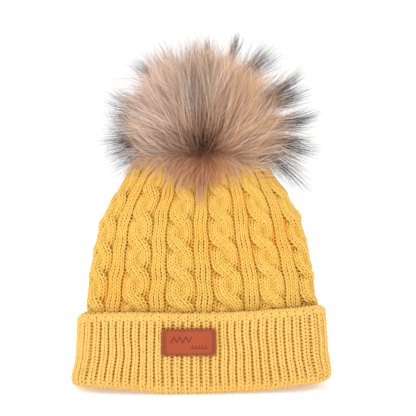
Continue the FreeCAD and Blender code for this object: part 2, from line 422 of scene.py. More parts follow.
def shell(surface, q0, q1, nq, nu, d_out, d_in, relief=None, relief_out=None):
    """A closed thin shell between two depths: the fabric's body, and its inner face."""
    def grid(nq, nu, d):
        q = np.linspace(q0, q1, nq)[:, None] + np.zeros((1, nu))
        u = (np.arange(nu) / nu)[None, :] + np.zeros((nq, 1))
        shape = relief if d == d_in else relief_out
        dd = np.full_like(q, d) if shape is None else d + shape(u, q)
        p, n = surface.at(u, q, dd)
        return p
    A, B = grid(nq, nu, d_out), grid(nq, nu, d_in)
    idx = np.arange(nq * nu).reshape(nq, nu)
    r = np.roll(idx, -1, 1)
    fo = np.stack([idx[:-1], r[:-1], r[1:], idx[1:]], -1).reshape(-1, 4)
    fi = np.stack([idx[:-1], idx[1:], r[1:], r[:-1]], -1).reshape(-1, 4) + nq * nu
    e0 = np.stack([idx[0], idx[0] + nq * nu, r[0] + nq * nu, r[0]], -1)
    e1 = np.stack([idx[-1], r[-1], r[-1] + nq * nu, idx[-1] + nq * nu], -1)
    quads = np.concatenate([fo, fi, e0, e1])
    verts = np.concatenate([A.reshape(-1, 3), B.reshape(-1, 3)])
    uvq = np.arange(nu) / nu
    U = np.stack([uvq, uvq + 1 / nu, uvq + 1 / nu, uvq], -1)                     # (nu, 4)
    vq = np.arange(nq - 1) / (nq - 1)
    V = np.stack([vq, vq, vq + 1 / (nq - 1), vq + 1 / (nq - 1)], -1)             # (nq-1, 4)
    uo = np.stack([np.broadcast_to(U[None], (nq - 1, nu, 4)), np.broadcast_to(V[:, None], (nq - 1, nu, 4)) * 0.48], -1)
    Ui, Vi = U[:, [0, 3, 2, 1]], V[:, [0, 3, 2, 1]]
    ui = np.stack([np.broadcast_to(Ui[None], (nq - 1, nu, 4)), 0.5 + np.broadcast_to(Vi[:, None], (nq - 1, nu, 4)) * 0.48], -1)
    ue = np.stack([U[:, [0, 0, 1, 1]], np.full((nu, 4), 0.985) + np.array([0, 0.005, 0.005, 0])], -1)
    ue2 = np.stack([U[:, [0, 1, 1, 0]], np.full((nu, 4), 0.992) + np.array([0, 0, 0.005, 0.005])], -1)
    uv = np.concatenate([uo.reshape(-1, 2), ui.reshape(-1, 2), ue.reshape(-1, 2), ue2.reshape(-1, 2)])
    return verts, quads, uv


# --- the turned-up cuff --------------------------------------------------------------------------
D_CUFF = 1.9
CUFF_MID = [
    (7.5, 92.7, 46.8), (4.6, 93.2, 47.3), (2.9, 95.0, 49.1), (2.15, 98.2, 52.3), (2.5, 101.0, 55.1), (3.9, 102.8, 56.9),
    (7.5, 103.4, 57.5), (15.0, 102.4, 56.9), (26.0, 100.8, 55.8), (42.0, 100.2, 54.7), (55.0, 100.0, 54.2),
    (58.4, 99.6, 53.7), (59.6, 98.7, 52.8), (58.8, 97.8, 51.9),
]
cuff_surface = Surface(with_q([(z, a, b, 4.0) for z, a, b in CUFF_MID]))
CUFF_LEN = cuff_surface.arc_v[-1]
N_CUFF = int(round(CUFF_LEN / 2.62))
CUFF_GIRTH = float(np.interp(CUFF_LEN * 0.6, cuff_surface.q, cuff_surface.girth))


GROOVES = [85.5, 93.6, 102.1, 109.7, 117.3, 124.9, 133.0, 141.1, 148.7, 156.0, 164.2, 173.5, 182.8, 192.0, 201.2, 210.8,
           220.2, 228.2, 235.9, 243.5, 251.5, 259.2, 267.1, 275.2, 282.9, 290.9, 299.3, 308.4, 317.3]


def rib_table():
    """Where the ribs' middles lie round the cuff (0..1): the spacing seen from the front across the face, then an
    even spacing along the yarn round the sides and the back."""
    a, b, n = 100.4, 54.9, 4.0
    x = np.concatenate([np.linspace(0, a * 0.97, 2500), a * (1 - 0.03 * np.linspace(1, 0, 2500)[1:] ** 3)])
    y = b * np.maximum(1 - (x / a) ** n, 0) ** (1 / n)
    s = np.concatenate([[0], np.cumsum(np.hypot(np.diff(x), np.diff(y)))])
    scale = PX * (CAM_DIST - y) / CAM_DIST
    right = 208 + (x - CAM_X) / scale + 1.5
    left = 208 + (-x - CAM_X) / scale + 1.5
    g = np.array(GROOVES)
    mid = (g[1:] + g[:-1]) / 2
    pos = [np.interp(m, right, s) if m > right[0] else -np.interp(-m, -left, s) for m in mid]
    s0, s1 = pos[0] + CUFF_GIRTH, pos[-1]
    m = int(round((s0 - s1) / 7.0))
    rest = s1 + (s0 - s1) * np.arange(1, m) / m
    return np.sort(np.mod(np.concatenate([pos, rest]) / CUFF_GIRTH, 1.0))


RIB_U = rib_table()
N_RIBS = len(RIB_U)


def lift_sides(p):
    """The fold and the bound edge aren't level: they rise away from the middle, more at the right-hand end of the
    front, and sag at the left-hand corner."""
    x = p[..., 0] / 103.0
    z = p[..., 2]
    fold = np.interp(x, [-1.0, -0.95, -0.88, -0.7, -0.5, -0.3, 0, 0.3, 0.5, 0.7, 0.88, 1.0],
                     [2.2, 3.9, 5.0, 4.3, 2.4, 1.0, 0.4, 0.9, 2.0, 4.0, 5.4, 5.9])
    top = np.interp(x, [-1.0, -0.92, -0.75, -0.52, -0.3, 0, 0.2, 0.32, 0.52, 0.71, 0.87, 1.0],
                    [-4.6, -0.9, 0.6, 1.0, 0.8, 0.1, 0.2, 0.9, 2.2, 3.2, 4.2, 2.6])
    out = p.copy()
    m = smooth01((z - 4) / 50)
    out[..., 2] += (fold * (1 - m) + top * m) * (1 - 0.4 * smooth01((p[..., 1] + 40) / 80))
    out[..., 2] = np.where(z < 6, np.maximum(out[..., 2], 1.15), out[..., 2])      # the fold rests on the floor
    return out


LABEL_X, LABEL_Z, LABEL_W, LABEL_H = -9.5, 40.0, 41.0, 20.0


def cuff_part(j0, j1, KK=10, KP=6, sides=5, rows=None, seed=5, band=False):
    """Ribbed rows. Returns u, v, depth and radius per point."""
    rows = rows or N_CUFF
    length = CUFF_LEN
    uk, vk, dk = loop_shape(KK, 0.235)
    up_, vp, dp = loop_shape(KP, 0.20, 0.0)
    nxt = np.concatenate([RIB_U[1:], [RIB_U[0] + 1]])
    pitch = (nxt - RIB_U) * CUFF_GIRTH                                   # from this rib to the next
    prev = np.roll(pitch, 1)
    wp = 1.10
    wk = (pitch + prev) / 2 - wp
    uu, vv, dd, rr = [], [], [], []
    for part in (0, 1):
        if part == 0:
            x = RIB_U[:, None] * CUFF_GIRTH + uk[None] * wk[:, None]
            v, d = vk[None] + 0 * x, 0.55 * dk[None] + 0.9 * (1 - (2 * uk[None]) ** 2) + 0 * x
            r = 1.2 + 0 * x
        else:
            x = (RIB_U[:, None] * CUFF_GIRTH + pitch[:, None] / 2) + up_[None] * wp
            v, d = vp[None] + 0 * x, -0.5 * dp[None] - 1.25 + 0 * x
            r = 1.10 + 0 * x
        uu.append(x), vv.append(v), dd.append(d), rr.append(r)
    U = np.concatenate(uu, 1)[None] / CUFF_GIRTH                          # (1, ribs, KK+KP)
    Vv = np.concatenate(vv, 1)[None]
    D = np.concatenate(dd, 1)[None]
    Rr = np.concatenate(rr, 1)[None]
    j = np.arange(j0, j1)[:, None, None]
    V = j + 0.5 + 0.72 * Vv
    U, D, Rr = (A + 0.0 * V for A in (U, D, Rr))
    q = V / rows * length
    if not band:                                       # the grooves close at the fold and at the bound edge
        purl = np.zeros(D.shape[-1])
        purl[KK:] = 1.0
        close = np.maximum(smooth01((V - (rows - 3.2)) / 1.6), 0.7 * (1 - smooth01((V - 5.2) / 2.2)))
        D = D + purl * close * 2.6
    ang = np.stack([np.cos(U * 2 * math.pi) * 83, np.sin(U * 2 * math.pi) * 83, q], -1)
    U = U + wave_noise(ang, seed, 2, 60) * 0.6 / CUFF_GIRTH
    D = D + wave_noise(ang, seed + 1, 2, 55) * 0.4
    return U, V, D, Rr


def cuff_q(v):
    return np.clip(v / N_CUFF * CUFF_LEN, 0, CUFF_LEN)


def press_label(p, n):
    """The ribs are pressed flat behind the label."""
    x = (np.abs(p[..., 0] - LABEL_X) - LABEL_W / 2) / 3.0
    z = (np.abs(p[..., 2] - LABEL_Z) - LABEL_H / 2) / 2.5
    w = (1 - smooth01((x + 1) / 2)) * (1 - smooth01((z + 1) / 2)) * (p[..., 1] < 0)
    return p - n * (w * 1.5)[..., None]


def build_cuff(mat):
    out = []
    cuts = [0, N_CUFF // 3, 2 * N_CUFF // 3, N_CUFF]
    for n in range(3):
        j0, j1 = cuts[n], cuts[n + 1]
        U, V, D, R = cuff_part(j0, j1)
        p, nrm, rr = knit_rings(cuff_surface, j0, j1, 16, U, V, D, cuff_q, R, 5, 300 + n)
        p = press_label(lift_sides(p), nrm)
        verts, quads, uv = tubes(p, nrm, rr, 5)
        # the low attribute is each point's depth in the fabric; the yarn material turns it into painted shade in the
        # grooves and painted light on the crests
        out.append(add_mesh("cuff_outer_rows_%d" % (n + 1), verts, quads, uv, strip_uv(p.shape[0], p.shape[1], 5),
                            {"low": np.repeat(D.reshape(-1), 5)}, mats=[mat]))
    return out


# --- the inner band: the ribbing that the crown grows out of -------------------------------------
band_surface = Surface(with_q([(z, 94.3, 48.4, 4.0) for z in (5.0, 20.0, 40.0, 62.0)]))


def build_band(mat):
    rows = 22
    q_of = lambda v: np.clip(v / rows * 55.0 + 0.9, 0, 57.0)
    out = []
    for n, (j0, j1) in enumerate(((0, 11), (11, 22))):
        U, V, D, R = cuff_part(j0, j1, KK=8, KP=4, rows=rows, seed=25, band=True)
        D = D * 0.75 - 0.6
        p, nrm, rr = knit_rings(band_surface, j0, j1, 12, U, V, D, q_of, R * 0.95, 4, 400 + n)
        p[..., 2] = np.maximum(p[..., 2], 6.6)
        verts, quads, uv = tubes(p, nrm, rr, 4)
        # the low attribute is each point's depth in the fabric; the yarn material turns it into painted shade in the
        # grooves and painted light on the crests
        out.append(add_mesh("rib_band_rows_%d" % (n + 1), verts, quads, uv, strip_uv(p.shape[0], p.shape[1], 4),
                            {"low": np.repeat(D.reshape(-1), 4)}, mats=[mat]))
    return out


def band_relief(u, q):
    """Ribs and rows of the band's inner face (positive is outwards, into the fabric)."""
    k = np.interp(np.mod(u, 1.0), np.concatenate([RIB_U, [1.0]]), np.arange(len(RIB_U) + 1))
    rib = np.cos(2 * math.pi * k)
    row = np.cos(2 * math.pi * q / 2.6 + math.pi * (rib > 0))
    return 0.9 * rib + 0.22 * row


def crown_swell(u, q):
    """The crown's body stands up behind the ribs and the cables."""
    table = np.linspace(-REP_MM, (REPEATS + 1) * REP_MM, 4000)
    x = np.interp(u, crown_u(table), table)
    gone = np.clip(1 - q / CROWN_LEN, 0, 1) ** 0.5
    def near(mid, flat, fade):
        gap = np.abs((x - mid + REP_MM / 2) % REP_MM - REP_MM / 2)
        return 1 - smooth01((gap - flat) / fade)
    return gone * (1.05 * near(0.0, 0.95 * WR, 0.65 * WR) + 0.5 * near(CENTRES[4:10].mean(), 1.7 * WC, 1.2 * WC))


def crown_relief(u, q):
    """Purl bumps of the crown's inner face."""
    W = 11 * REPEATS
    a = u * W
    b = q / (CROWN_LEN * 0.955) * N_CROWN
    bump = np.sin(math.pi * (b + 0.28 * np.sin(2 * math.pi * a))) ** 2
    cable = np.cos(2 * math.pi * u * REPEATS)
    return 0.45 * bump - 0.5 * cable


# ------------------------------------------------------------------------------------------------
# materials
# ------------------------------------------------------------------------------------------------
class Nodes:
    def __init__(self, name):
        self.m = bpy.data.materials.new(name)
        self.m.use_nodes = True
        self.t = self.m.node_tree
        self.bsdf = self.t.nodes["Principled BSDF"]

    def n(self, kind, **props):
        node = self.t.nodes.new("ShaderNode" + kind)
        for k, v in props.items():
            if k.startswith("i_"):
                node.inputs[k[2:]].default_value = v
            else:
                setattr(node, k, v)
        return node

    def link(self, a, b):
        self.t.links.new(a, b)

    def math(self, op, a, b=None, c=None, clamp=False):
        node = self.n("Math", operation=op, use_clamp=clamp)
        for k, x in enumerate((a, b, c)):
            if x is None:
                continue
            if isinstance(x, (int, float)):
                node.inputs[k].default_value = x
            else:
                self.link(x, node.inputs[k])
        return node.outputs[0]

    def ramp(self, fac, stops, interp="LINEAR"):
        node = self.n("ValToRGB")
        node.color_ramp.interpolation = interp
        el = node.color_ramp.elements
        while len(el) < len(stops):
            el.new(0.5)
        for e, (p, c) in zip(el, stops):
            e.position = p
            e.color = (*c, 1)
        self.link(fac, node.inputs[0])
        return node.outputs[0]

    def mix(self, fac, a, b, mode="MIX"):
        node = self.n("Mix", data_type="RGBA", blend_type=mode)
        for sock, x in ((node.inputs[0], fac), (node.inputs[6], a), (node.inputs[7], b)):
            if isinstance(x, (int, float)):
                sock.default_value = x
            elif isinstance(x, tuple):
                sock.default_value = (*x, 1)
            else:
                self.link(x, sock)
        return node.outputs[2]

    def noise(self, scale, detail=3.0, rough=0.5, vec=None, dim="3D"):
        node = self.n("TexNoise", noise_dimensions=dim)
        node.inputs["Scale"].default_value = scale
        node.inputs["Detail"].default_value = detail
        node.inputs["Roughness"].default_value = rough
        if vec is not None:
            self.link(vec, node.inputs["Vector"])
        return node.outputs[0]

    def obj(self):
        return self.n("TexCoord").outputs["Object"]

    def attr(self, name):
        node = self.n("Attribute", attribute_name=name)
        return node

    def bump(self, height, strength, distance, under=None):
        node = self.n("Bump")
        node.inputs["Strength"].default_value = strength
        node.inputs["Distance"].default_value = distance
        self.link(height, node.inputs["Height"])
        if under is not None:
            self.link(under, node.inputs["Normal"])
        return node.outputs[0]

    def set(self, **kw):
        names = {"color": "Base Color", "rough": "Roughness", "metal": "Metallic", "spec": "Specular IOR Level",
                 "sheen": "Sheen Weight", "sheen_rough": "Sheen Roughness", "sheen_tint": "Sheen Tint",
                 "coat": "Coat Weight", "coat_rough": "Coat Roughness",
                 "glow": "Emission Strength", "glow_tint": "Emission Color", "sss": "Subsurface Weight",
                 "sss_radius": "Subsurface Radius", "sss_scale": "Subsurface Scale", "normal": "Normal", "ior": "IOR"}
        for k, v in kw.items():
            s = self.bsdf.inputs[names[k]]
            if isinstance(v, bpy.types.NodeSocket):
                self.link(v, s)
            elif isinstance(v, tuple) and len(s.default_value) == 4:
                s.default_value = (*v, 1)
            else:
                s.default_value = v
        return self.m


def yarn_material(name, lit_crest, mid, deep_shade, lo=-3.4, hi=2.2):
    """Spun yarn: painted shade and painted light by depth in the fabric (a darker, warmer colour down between the
    stitches, a lighter one on the crests), slow dye variation, ply twist and fibre fuzz.
    """
    k = Nodes(name)
    # the depth in the fabric (attribute low) picks the colour: painted shade down in the hollows between stitches,
    # painted light on the crests
    low = k.n("MapRange")
    k.link(k.attr("low").outputs["Fac"], low.inputs["Value"])
    low.inputs["From Min"].default_value = lo
    low.inputs["From Max"].default_value = hi
    tone = k.ramp(low.outputs[0], [(0.0, deep_shade), (0.42, mid), (1.0, lit_crest)])
    obj = k.obj()
    big = k.noise(38.0, 2.0, 0.5, obj)
    fine = k.noise(900.0, 3.0, 0.6, obj)
    tone = k.mix(k.math("MULTIPLY", big, 0.34), tone, mid)
    fibre = k.math("MULTIPLY_ADD", fine, 0.30, 0.85)
    comb = k.n("CombineColor")
    for s in range(3):
        k.link(fibre, comb.inputs[s])
    tone = k.mix(1.0, tone, comb.outputs[0], "MULTIPLY")
    uv = k.n("UVMap", uv_map="UVMap")
    sep = k.n("SeparateXYZ")
    k.link(uv.outputs[0], sep.inputs[0])
    # three plies: the stripes climb round the yarn once in about 4.5 mm
    ph = k.math("ADD", k.math("MULTIPLY", sep.outputs["Y"], 3.0), k.math("MULTIPLY", sep.outputs["X"], 1 / 1.5))
    ply = k.math("SINE", k.math("MULTIPLY", ph, 2 * math.pi))
    ply = k.math("MULTIPLY_ADD", ply, 0.5, 0.5)
    n1 = k.bump(ply, 0.55, 0.00035)
    n2 = k.bump(fine, 0.6, 0.00025, n1)
    return k.set(color=tone, rough=0.88, spec=0.10, sheen=0.28, sheen_rough=0.45, sheen_tint=(1.0, 0.76, 0.34), normal=n2)


# crest, mid and deep colours by depth: the deep colour is painted shade, darker and warmer, for the hollows between
# stitches; the crest colour is painted light
CROWN_YARN = yarn_material("crown_yarn", (0.775, 0.494, 0.110), (0.760, 0.428, 0.074), (0.95, 0.290, 0.010), -2.3, 2.1)
CUFF_YARN = yarn_material("cuff_yarn", (0.80, 0.520, 0.152), (0.80, 0.470, 0.108), (0.92, 0.365, 0.020), -1.9, 1.1)


def backing_material():
    k = Nodes("knit_backing")
    obj = k.obj()
    fine = k.noise(700.0, 3.0, 0.6, obj)
    big = k.noise(60.0, 2.0, 0.5, obj)
    # the fabric's body seen between the stitches: a deeper, more saturated orange than the yarn, partly the yarn's own
    # colour and partly painted shade of the hollows between the stitches
    tone = k.mix(big, (0.92, 0.33, 0.014), (0.95, 0.39, 0.022))
    n = k.bump(fine, 0.7, 0.0003)
    return k.set(color=tone, rough=0.92, spec=0.15, sheen=0.3, normal=n)


BACKING = backing_material()


def leather_material():
    k = Nodes("label_leather")
    obj = k.obj()
    grain = k.n("TexVoronoi", feature="DISTANCE_TO_EDGE")
    grain.inputs["Scale"].default_value = 1500.0
    k.link(obj, grain.inputs["Vector"])
    fine = k.noise(2600.0, 3.0, 0.6, obj)
    cloud = k.noise(110.0, 3.0, 0.55, obj)
    tone = k.mix(cloud, (0.315, 0.048, 0.013), (0.385, 0.072, 0.023))
    deb = k.attr("deboss").outputs["Fac"]
    tone = k.mix(k.math("MULTIPLY", deb, 0.75), tone, (0.16, 0.026, 0.012))
    edge = k.attr("edge").outputs["Fac"]
    tone = k.mix(k.math("MULTIPLY", edge, 0.5), tone, (0.24, 0.042, 0.018))
    n1 = k.bump(grain.outputs["Distance"], 0.35, 0.0002)
    n2 = k.bump(fine, 0.35, 0.0001, n1)
    rough = k.math("MULTIPLY_ADD", cloud, 0.2, 0.5)
    return k.set(color=tone, rough=rough, spec=0.28, normal=n2)


LEATHER = leather_material()


def thread_material(name, c1, c2):
    k = Nodes(name)
    obj = k.obj()
    fine = k.noise(1800.0, 3.0, 0.6, obj)
    uv = k.n("UVMap", uv_map="UVMap")
    sep = k.n("SeparateXYZ")
    k.link(uv.outputs[0], sep.inputs[0])
    ph = k.math("ADD", k.math("MULTIPLY", sep.outputs["Y"], 2.0), k.math("MULTIPLY", sep.outputs["X"], 1.1))
    ply = k.math("MULTIPLY_ADD", k.math("SINE", k.math("MULTIPLY", ph, 2 * math.pi)), 0.5, 0.5)
    tone = k.mix(k.math("MULTIPLY", ply, 0.7), c1, c2)
    n = k.bump(k.math("ADD", ply, fine), 0.5, 0.0002)
    return k.set(color=tone, rough=0.7, spec=0.3, sheen=0.2, normal=n)


LABEL_THREAD = thread_material("label_thread", (0.20, 0.035, 0.015), (0.36, 0.07, 0.03))
DARK_THREAD = thread_material("dark_thread", (0.05, 0.035, 0.025), (0.12, 0.09, 0.06))
YARN_THREAD = thread_material("seam_yarn", (0.70, 0.34, 0.035), (0.88, 0.50, 0.08))


def metal_material(name, base, rough):
    k = Nodes(name)
    obj = k.obj()
    scr = k.noise(1200.0, 4.0, 0.7, obj)
    cloud = k.noise(220.0, 3.0, 0.6, obj)
    tone = k.mix(k.math("MULTIPLY", cloud, 0.5), base, tuple(x * 0.72 for x in base))
    r = k.math("MULTIPLY_ADD", cloud, 0.22, rough)
    n = k.bump(scr, 0.12, 0.00005)
    return k.set(color=tone, rough=r, metal=1.0, normal=n)


SNAP_METAL = metal_material("snap_metal", (0.66, 0.62, 0.55), 0.22)
SPRING_METAL = metal_material("spring_steel", (0.60, 0.61, 0.63), 0.18)


def felt_material(name, c1, c2):
    k = Nodes(name)
    obj = k.obj()
    f = k.noise(1100.0, 5.0, 0.7, obj)
    g = k.noise(260.0, 3.0, 0.6, obj)
    tone = k.mix(g, c1, c2)
    n = k.bump(f, 0.9, 0.0004)
    return k.set(color=tone, rough=0.95, spec=0.1, sheen=0.4, normal=n)


FELT = felt_material("felt", (0.66, 0.36, 0.05), (0.80, 0.46, 0.08))
PELT = felt_material("pelt_suede", (0.30, 0.19, 0.12), (0.44, 0.30, 0.20))
STUFF = felt_material("stuffing_fibre", (0.80, 0.79, 0.76), (0.92, 0.91, 0.89))


def tag_material():
    k = Nodes("tag_cloth")
    obj = k.obj()
    sep = k.n("SeparateXYZ")
    k.link(obj, sep.inputs[0])
    wx = k.math("SINE", k.math("MULTIPLY", sep.outputs["X"], 2 * math.pi / 0.0007))
    wz = k.math("SINE", k.math("MULTIPLY", sep.outputs["Z"], 2 * math.pi / 0.0005))
    weave = k.math("MULTIPLY_ADD", k.math("MULTIPLY", wx, wz), 0.5, 0.5)
    cloud = k.noise(140.0, 3.0, 0.5, obj)
    tone = k.mix(cloud, (0.86, 0.85, 0.81), (0.76, 0.75, 0.70))
    n = k.bump(weave, 0.4, 0.00012)
    return k.set(color=tone, rough=0.45, spec=0.35, sheen=0.25, normal=n)


TAG = tag_material()


def fur_material():
    k = Nodes("fur")
    col = k.attr("hair").outputs["Color"]
    obj = k.obj()
    f = k.noise(420.0, 2.0, 0.5, obj)
    comb = k.n("CombineColor")
    v = k.math("MULTIPLY_ADD", f, 0.36, 0.82)
    for s in range(3):
        k.link(v, comb.inputs[s])
    tone = k.mix(1.0, col, comb.outputs[0], "MULTIPLY")
    return k.set(color=tone, rough=0.55, spec=0.35, sheen=0.15, sheen_rough=0.4)


FUR = fur_material()


# ------------------------------------------------------------------------------------------------
# the knitted pieces
# ------------------------------------------------------------------------------------------------
crown_rows = build_crown(CROWN_YARN)
v, q, uv = shell(crown_surface, 0.0, CROWN_LEN * 0.962, 130, 13 * 28, -2.1, -3.9, crown_relief, crown_swell)
crown_body = add_mesh("crown_knit_inside", v, q, uv, uv, mats=[BACKING])
cuff_rows = build_cuff(CUFF_YARN)
v, q, uv = shell(cuff_surface, 0.4, CUFF_LEN - 0.6, 40, 360, -1.95, -3.3)
cuff_body = add_mesh("cuff_outer_inside", lift_sides(v), q, uv, uv, mats=[BACKING])
band_rows = build_band(CUFF_YARN)
v, q, uv = shell(band_surface, 0.7, 57.0, 60, N_RIBS * 6, -2.2, -3.6, band_relief)
band_body = add_mesh("rib_band_inside", v, q, uv, uv, mats=[BACKING])
for o in crown_rows + [crown_body]:
    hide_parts("crown_knit")
    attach(o, "crown")
for o in band_rows + [band_body]:
    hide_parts("rib_band_inner")
    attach(o, "crown")
for o in cuff_rows + [cuff_body]:
    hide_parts("cuff_outer")
    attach(o, "cuff")


# ------------------------------------------------------------------------------------------------
# the leather label and its stitches
# ------------------------------------------------------------------------------------------------
lab_lo, lab_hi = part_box("label_patch")
LX0, LX1, LZ0, LZ1 = lab_lo.x / MM, lab_hi.x / MM, lab_lo.z / MM, lab_hi.z / MM
LXM, LZM, LW, LH = (LX0 + LX1) / 2, (LZ0 + LZ1) / 2, LX1 - LX0, LZ1 - LZ0


def cuff_front_y(x, z, out):
    """The front face of the cuff (negative y) with everything moved out by 'out'."""
    zz = np.array([0.0, 1.2, 3.4, 8, 16, 27, 42, 57, 59.6, 61])
    aa = np.array([100.2, 103.0, 104.8, 105.4, 104.31, 102.71, 102.2, 102.0, 101.0, 99.2])
    bb = np.array([54.3, 57.1, 58.9, 59.5, 58.86, 57.74, 56.68, 56.1, 55.1, 53.3])
    a, b = pchip(zz, aa, z) + out, pchip(zz, bb, z) + out
    return -b * (1 - np.clip(np.abs(x) / a, 0, 0.999) ** 4.0) ** 0.25


def seg_dist(px, pz, ax, az, bx, bz):
    dx, dz = bx - ax, bz - az
    t = np.clip(((px - ax) * dx + (pz - az) * dz) / (dx * dx + dz * dz), 0, 1)
    return np.hypot(px - ax - t * dx, pz - az - t * dz)


def label_mesh():
    nx, nz = 300, 150
    # a grid that follows the rounded outline: each ring of the grid is an offset of the outline
    gx, gz = np.meshgrid(np.linspace(-1, 1, nx), np.linspace(-1, 1, nz))
    hx, hz, rad = LW / 2, LH / 2, 2.0
    # squircle-like mapping of the corner squares onto the rounded corners
    X, Z = gx * hx, gz * hz
    cx, cz = hx - rad, hz - rad
    ox, oz = np.maximum(np.abs(X) - cx, 0), np.maximum(np.abs(Z) - cz, 0)
    m = np.maximum(ox, oz)
    L = np.hypot(ox, oz)
    k = np.where(L > 1e-9, m / np.maximum(L, 1e-9), 1)
    X = np.sign(X) * (np.minimum(np.abs(X), cx) + ox * k)
    Z = np.sign(Z) * (np.minimum(np.abs(Z), cz) + oz * k)
    inside = np.minimum(rad - np.hypot(np.maximum(np.abs(X) - cx, 0), np.maximum(np.abs(Z) - cz, 0)),
                        np.minimum(hx - np.abs(X), hz - np.abs(Z)))
    inside = np.maximum(inside, 0)                                # distance from the outline
    r_edge = 0.55
    e = np.clip(inside / r_edge, 0, 1)
    top = -r_edge * (1 - np.sqrt(1 - (1 - e) ** 2))               # rounded edge
    # generic debossed motif: a zigzag line upper left, a plain line lower right, and a fine border line
    deb = np.full(X.shape, 9.0)
    zig = [(-13.6 + 2.25 * i, 3.9 if i % 2 else -0.1) for i in range(8)]
    for (ax, az), (bx, bz) in zip(zig[:-1], zig[1:]):
        deb = np.minimum(deb, seg_dist(X, Z, ax, az, bx, bz))
    deb2 = seg_dist(X, Z, 1.8, -4.6, 14.2, -4.6)
    for i in range(5):
        deb2 = np.minimum(deb2, seg_dist(X, Z, 3.0 + 2.5 * i, -3.9, 3.0 + 2.5 * i, -2.6))
    cut = np.clip(1 - (deb - 0.33) / 0.22, 0, 1) + np.clip(1 - (deb2 - 0.24) / 0.2, 0, 1)
    border = np.abs(inside - 1.15)
    line = np.clip(1 - (border - 0.08) / 0.16, 0, 1)
    cut = np.clip(cut, 0, 1)
    cut = smooth01(cut)
    h = top - 0.42 * cut - 0.16 * smooth01(line)
    # the seams pull the leather down a little where the stitches sit
    for sx in (-1, 1):
        for i in range(5):
            d = np.hypot((X - sx * (hx - 2.2)), (Z - (i - 2) * 3.4) * 0.45)
            h = h - 0.22 * np.exp(-(d / 0.8) ** 2)
    h = h + 0.08 * wave_noise(np.stack([X, Z], -1), 77, 2, 14)
    px, pz = LXM + X, LZM + Z
    yo = cuff_front_y(px, pz, 1.8 + h)
    yi = cuff_front_y(px, pz, 0.15 + np.where(inside < 0.3, 0.1, 0.0))
    A = np.stack([px, yo, pz], -1)
    B = np.stack([px, yi, pz], -1)
    idx = np.arange(nx * nz).reshape(nz, nx)
    fo = np.stack([idx[:-1, :-1], idx[:-1, 1:], idx[1:, 1:], idx[1:, :-1]], -1).reshape(-1, 4)
    step = 1
    fi = fo[:, ::-1] + nx * nz
    ring = np.concatenate([idx[0, :-1], idx[:-1, -1], idx[-1, :0:-1], idx[:0:-1, 0]])
    nxt = np.roll(ring, -1)
    side = np.stack([ring, ring + nx * nz, nxt + nx * nz, nxt], -1)
    verts = np.concatenate([A.reshape(-1, 3), B.reshape(-1, 3)])
    deb_a = np.concatenate([np.maximum(cut, 0.8 * smooth01(line)).ravel(), np.zeros(nx * nz)])
    edge_a = np.concatenate([(1 - smooth01(inside / 0.8)).ravel(), np.ones(nx * nz)])
    return add_mesh("label_leather", verts, np.concatenate([fo, fi, side]), None, None,
                    {"deboss": deb_a, "edge": edge_a}, mats=[LEATHER])


label = label_mesh()
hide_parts("label_patch")
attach(label, "cuff")


def arc_tubes(name, paths, radius, normal, mat, sides=8, taper=True):
    """Short threads along given paths: paths (R, n, 3)."""
    paths = np.asarray(paths, float)
    R, n, _ = paths.shape
    r = np.full((R, n), radius)
    if taper:
        r[:, 0] = r[:, -1] = radius * 0.45
    nr = np.broadcast_to(np.asarray(normal, float), paths.shape)
    verts, quads, uv = tubes(paths, nr, r, sides, closed=False)
    caps = []
    idx = np.arange(R * n * sides).reshape(R, n, sides)
    for c in (idx[:, 0], idx[:, -1, ::-1]):
        for k in range(1, sides - 1):
            caps.append(np.stack([c[:, 0], c[:, k + 1], c[:, k]], -1))
    tris = np.concatenate(caps)
    uv = np.concatenate([uv, np.zeros((len(tris) * 3, 2))])
    return add_mesh(name, verts, quads, uv, None, None, tris=tris, mats=[mat])


def label_stitches():
    paths = []
    for sx in (-1, 1):
        x = LXM + sx * (LW / 2 - 2.2)
        for i in range(5):
            z = LZM + (i - 2) * 3.4
            t = np.linspace(-1, 1, 9)
            zz = z + 1.35 * t
            out = 1.8 + 0.42 * (1 - t ** 4) - 0.55 * t ** 8
            xx = x + 0.06 * np.sin(i * 2.3 + t)
            paths.append(np.stack([xx, cuff_front_y(np.full(9, x), zz, out), zz], -1))
    # small stitches over the top and bottom edges, level with the corner stitches
    for sz in (-1, 1):
        for i in range(11):
            x = LXM + (i - 5) * 3.3
            t = np.linspace(-1, 1, 9)
            z = LZM + sz * (LH / 2 - 1.15) + 0 * t
            xx = x + 1.05 * t
            out = 1.8 + 0.36 * (1 - t ** 4) - 0.5 * t ** 8
            paths.append(np.stack([xx, cuff_front_y(xx, z, out), z], -1))
    o = arc_tubes("label_thread_stitches", paths, 0.32, (0, -1, 0), LABEL_THREAD)
    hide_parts("label_stitches")
    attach(o, "cuff")
    return o


label_stitches()


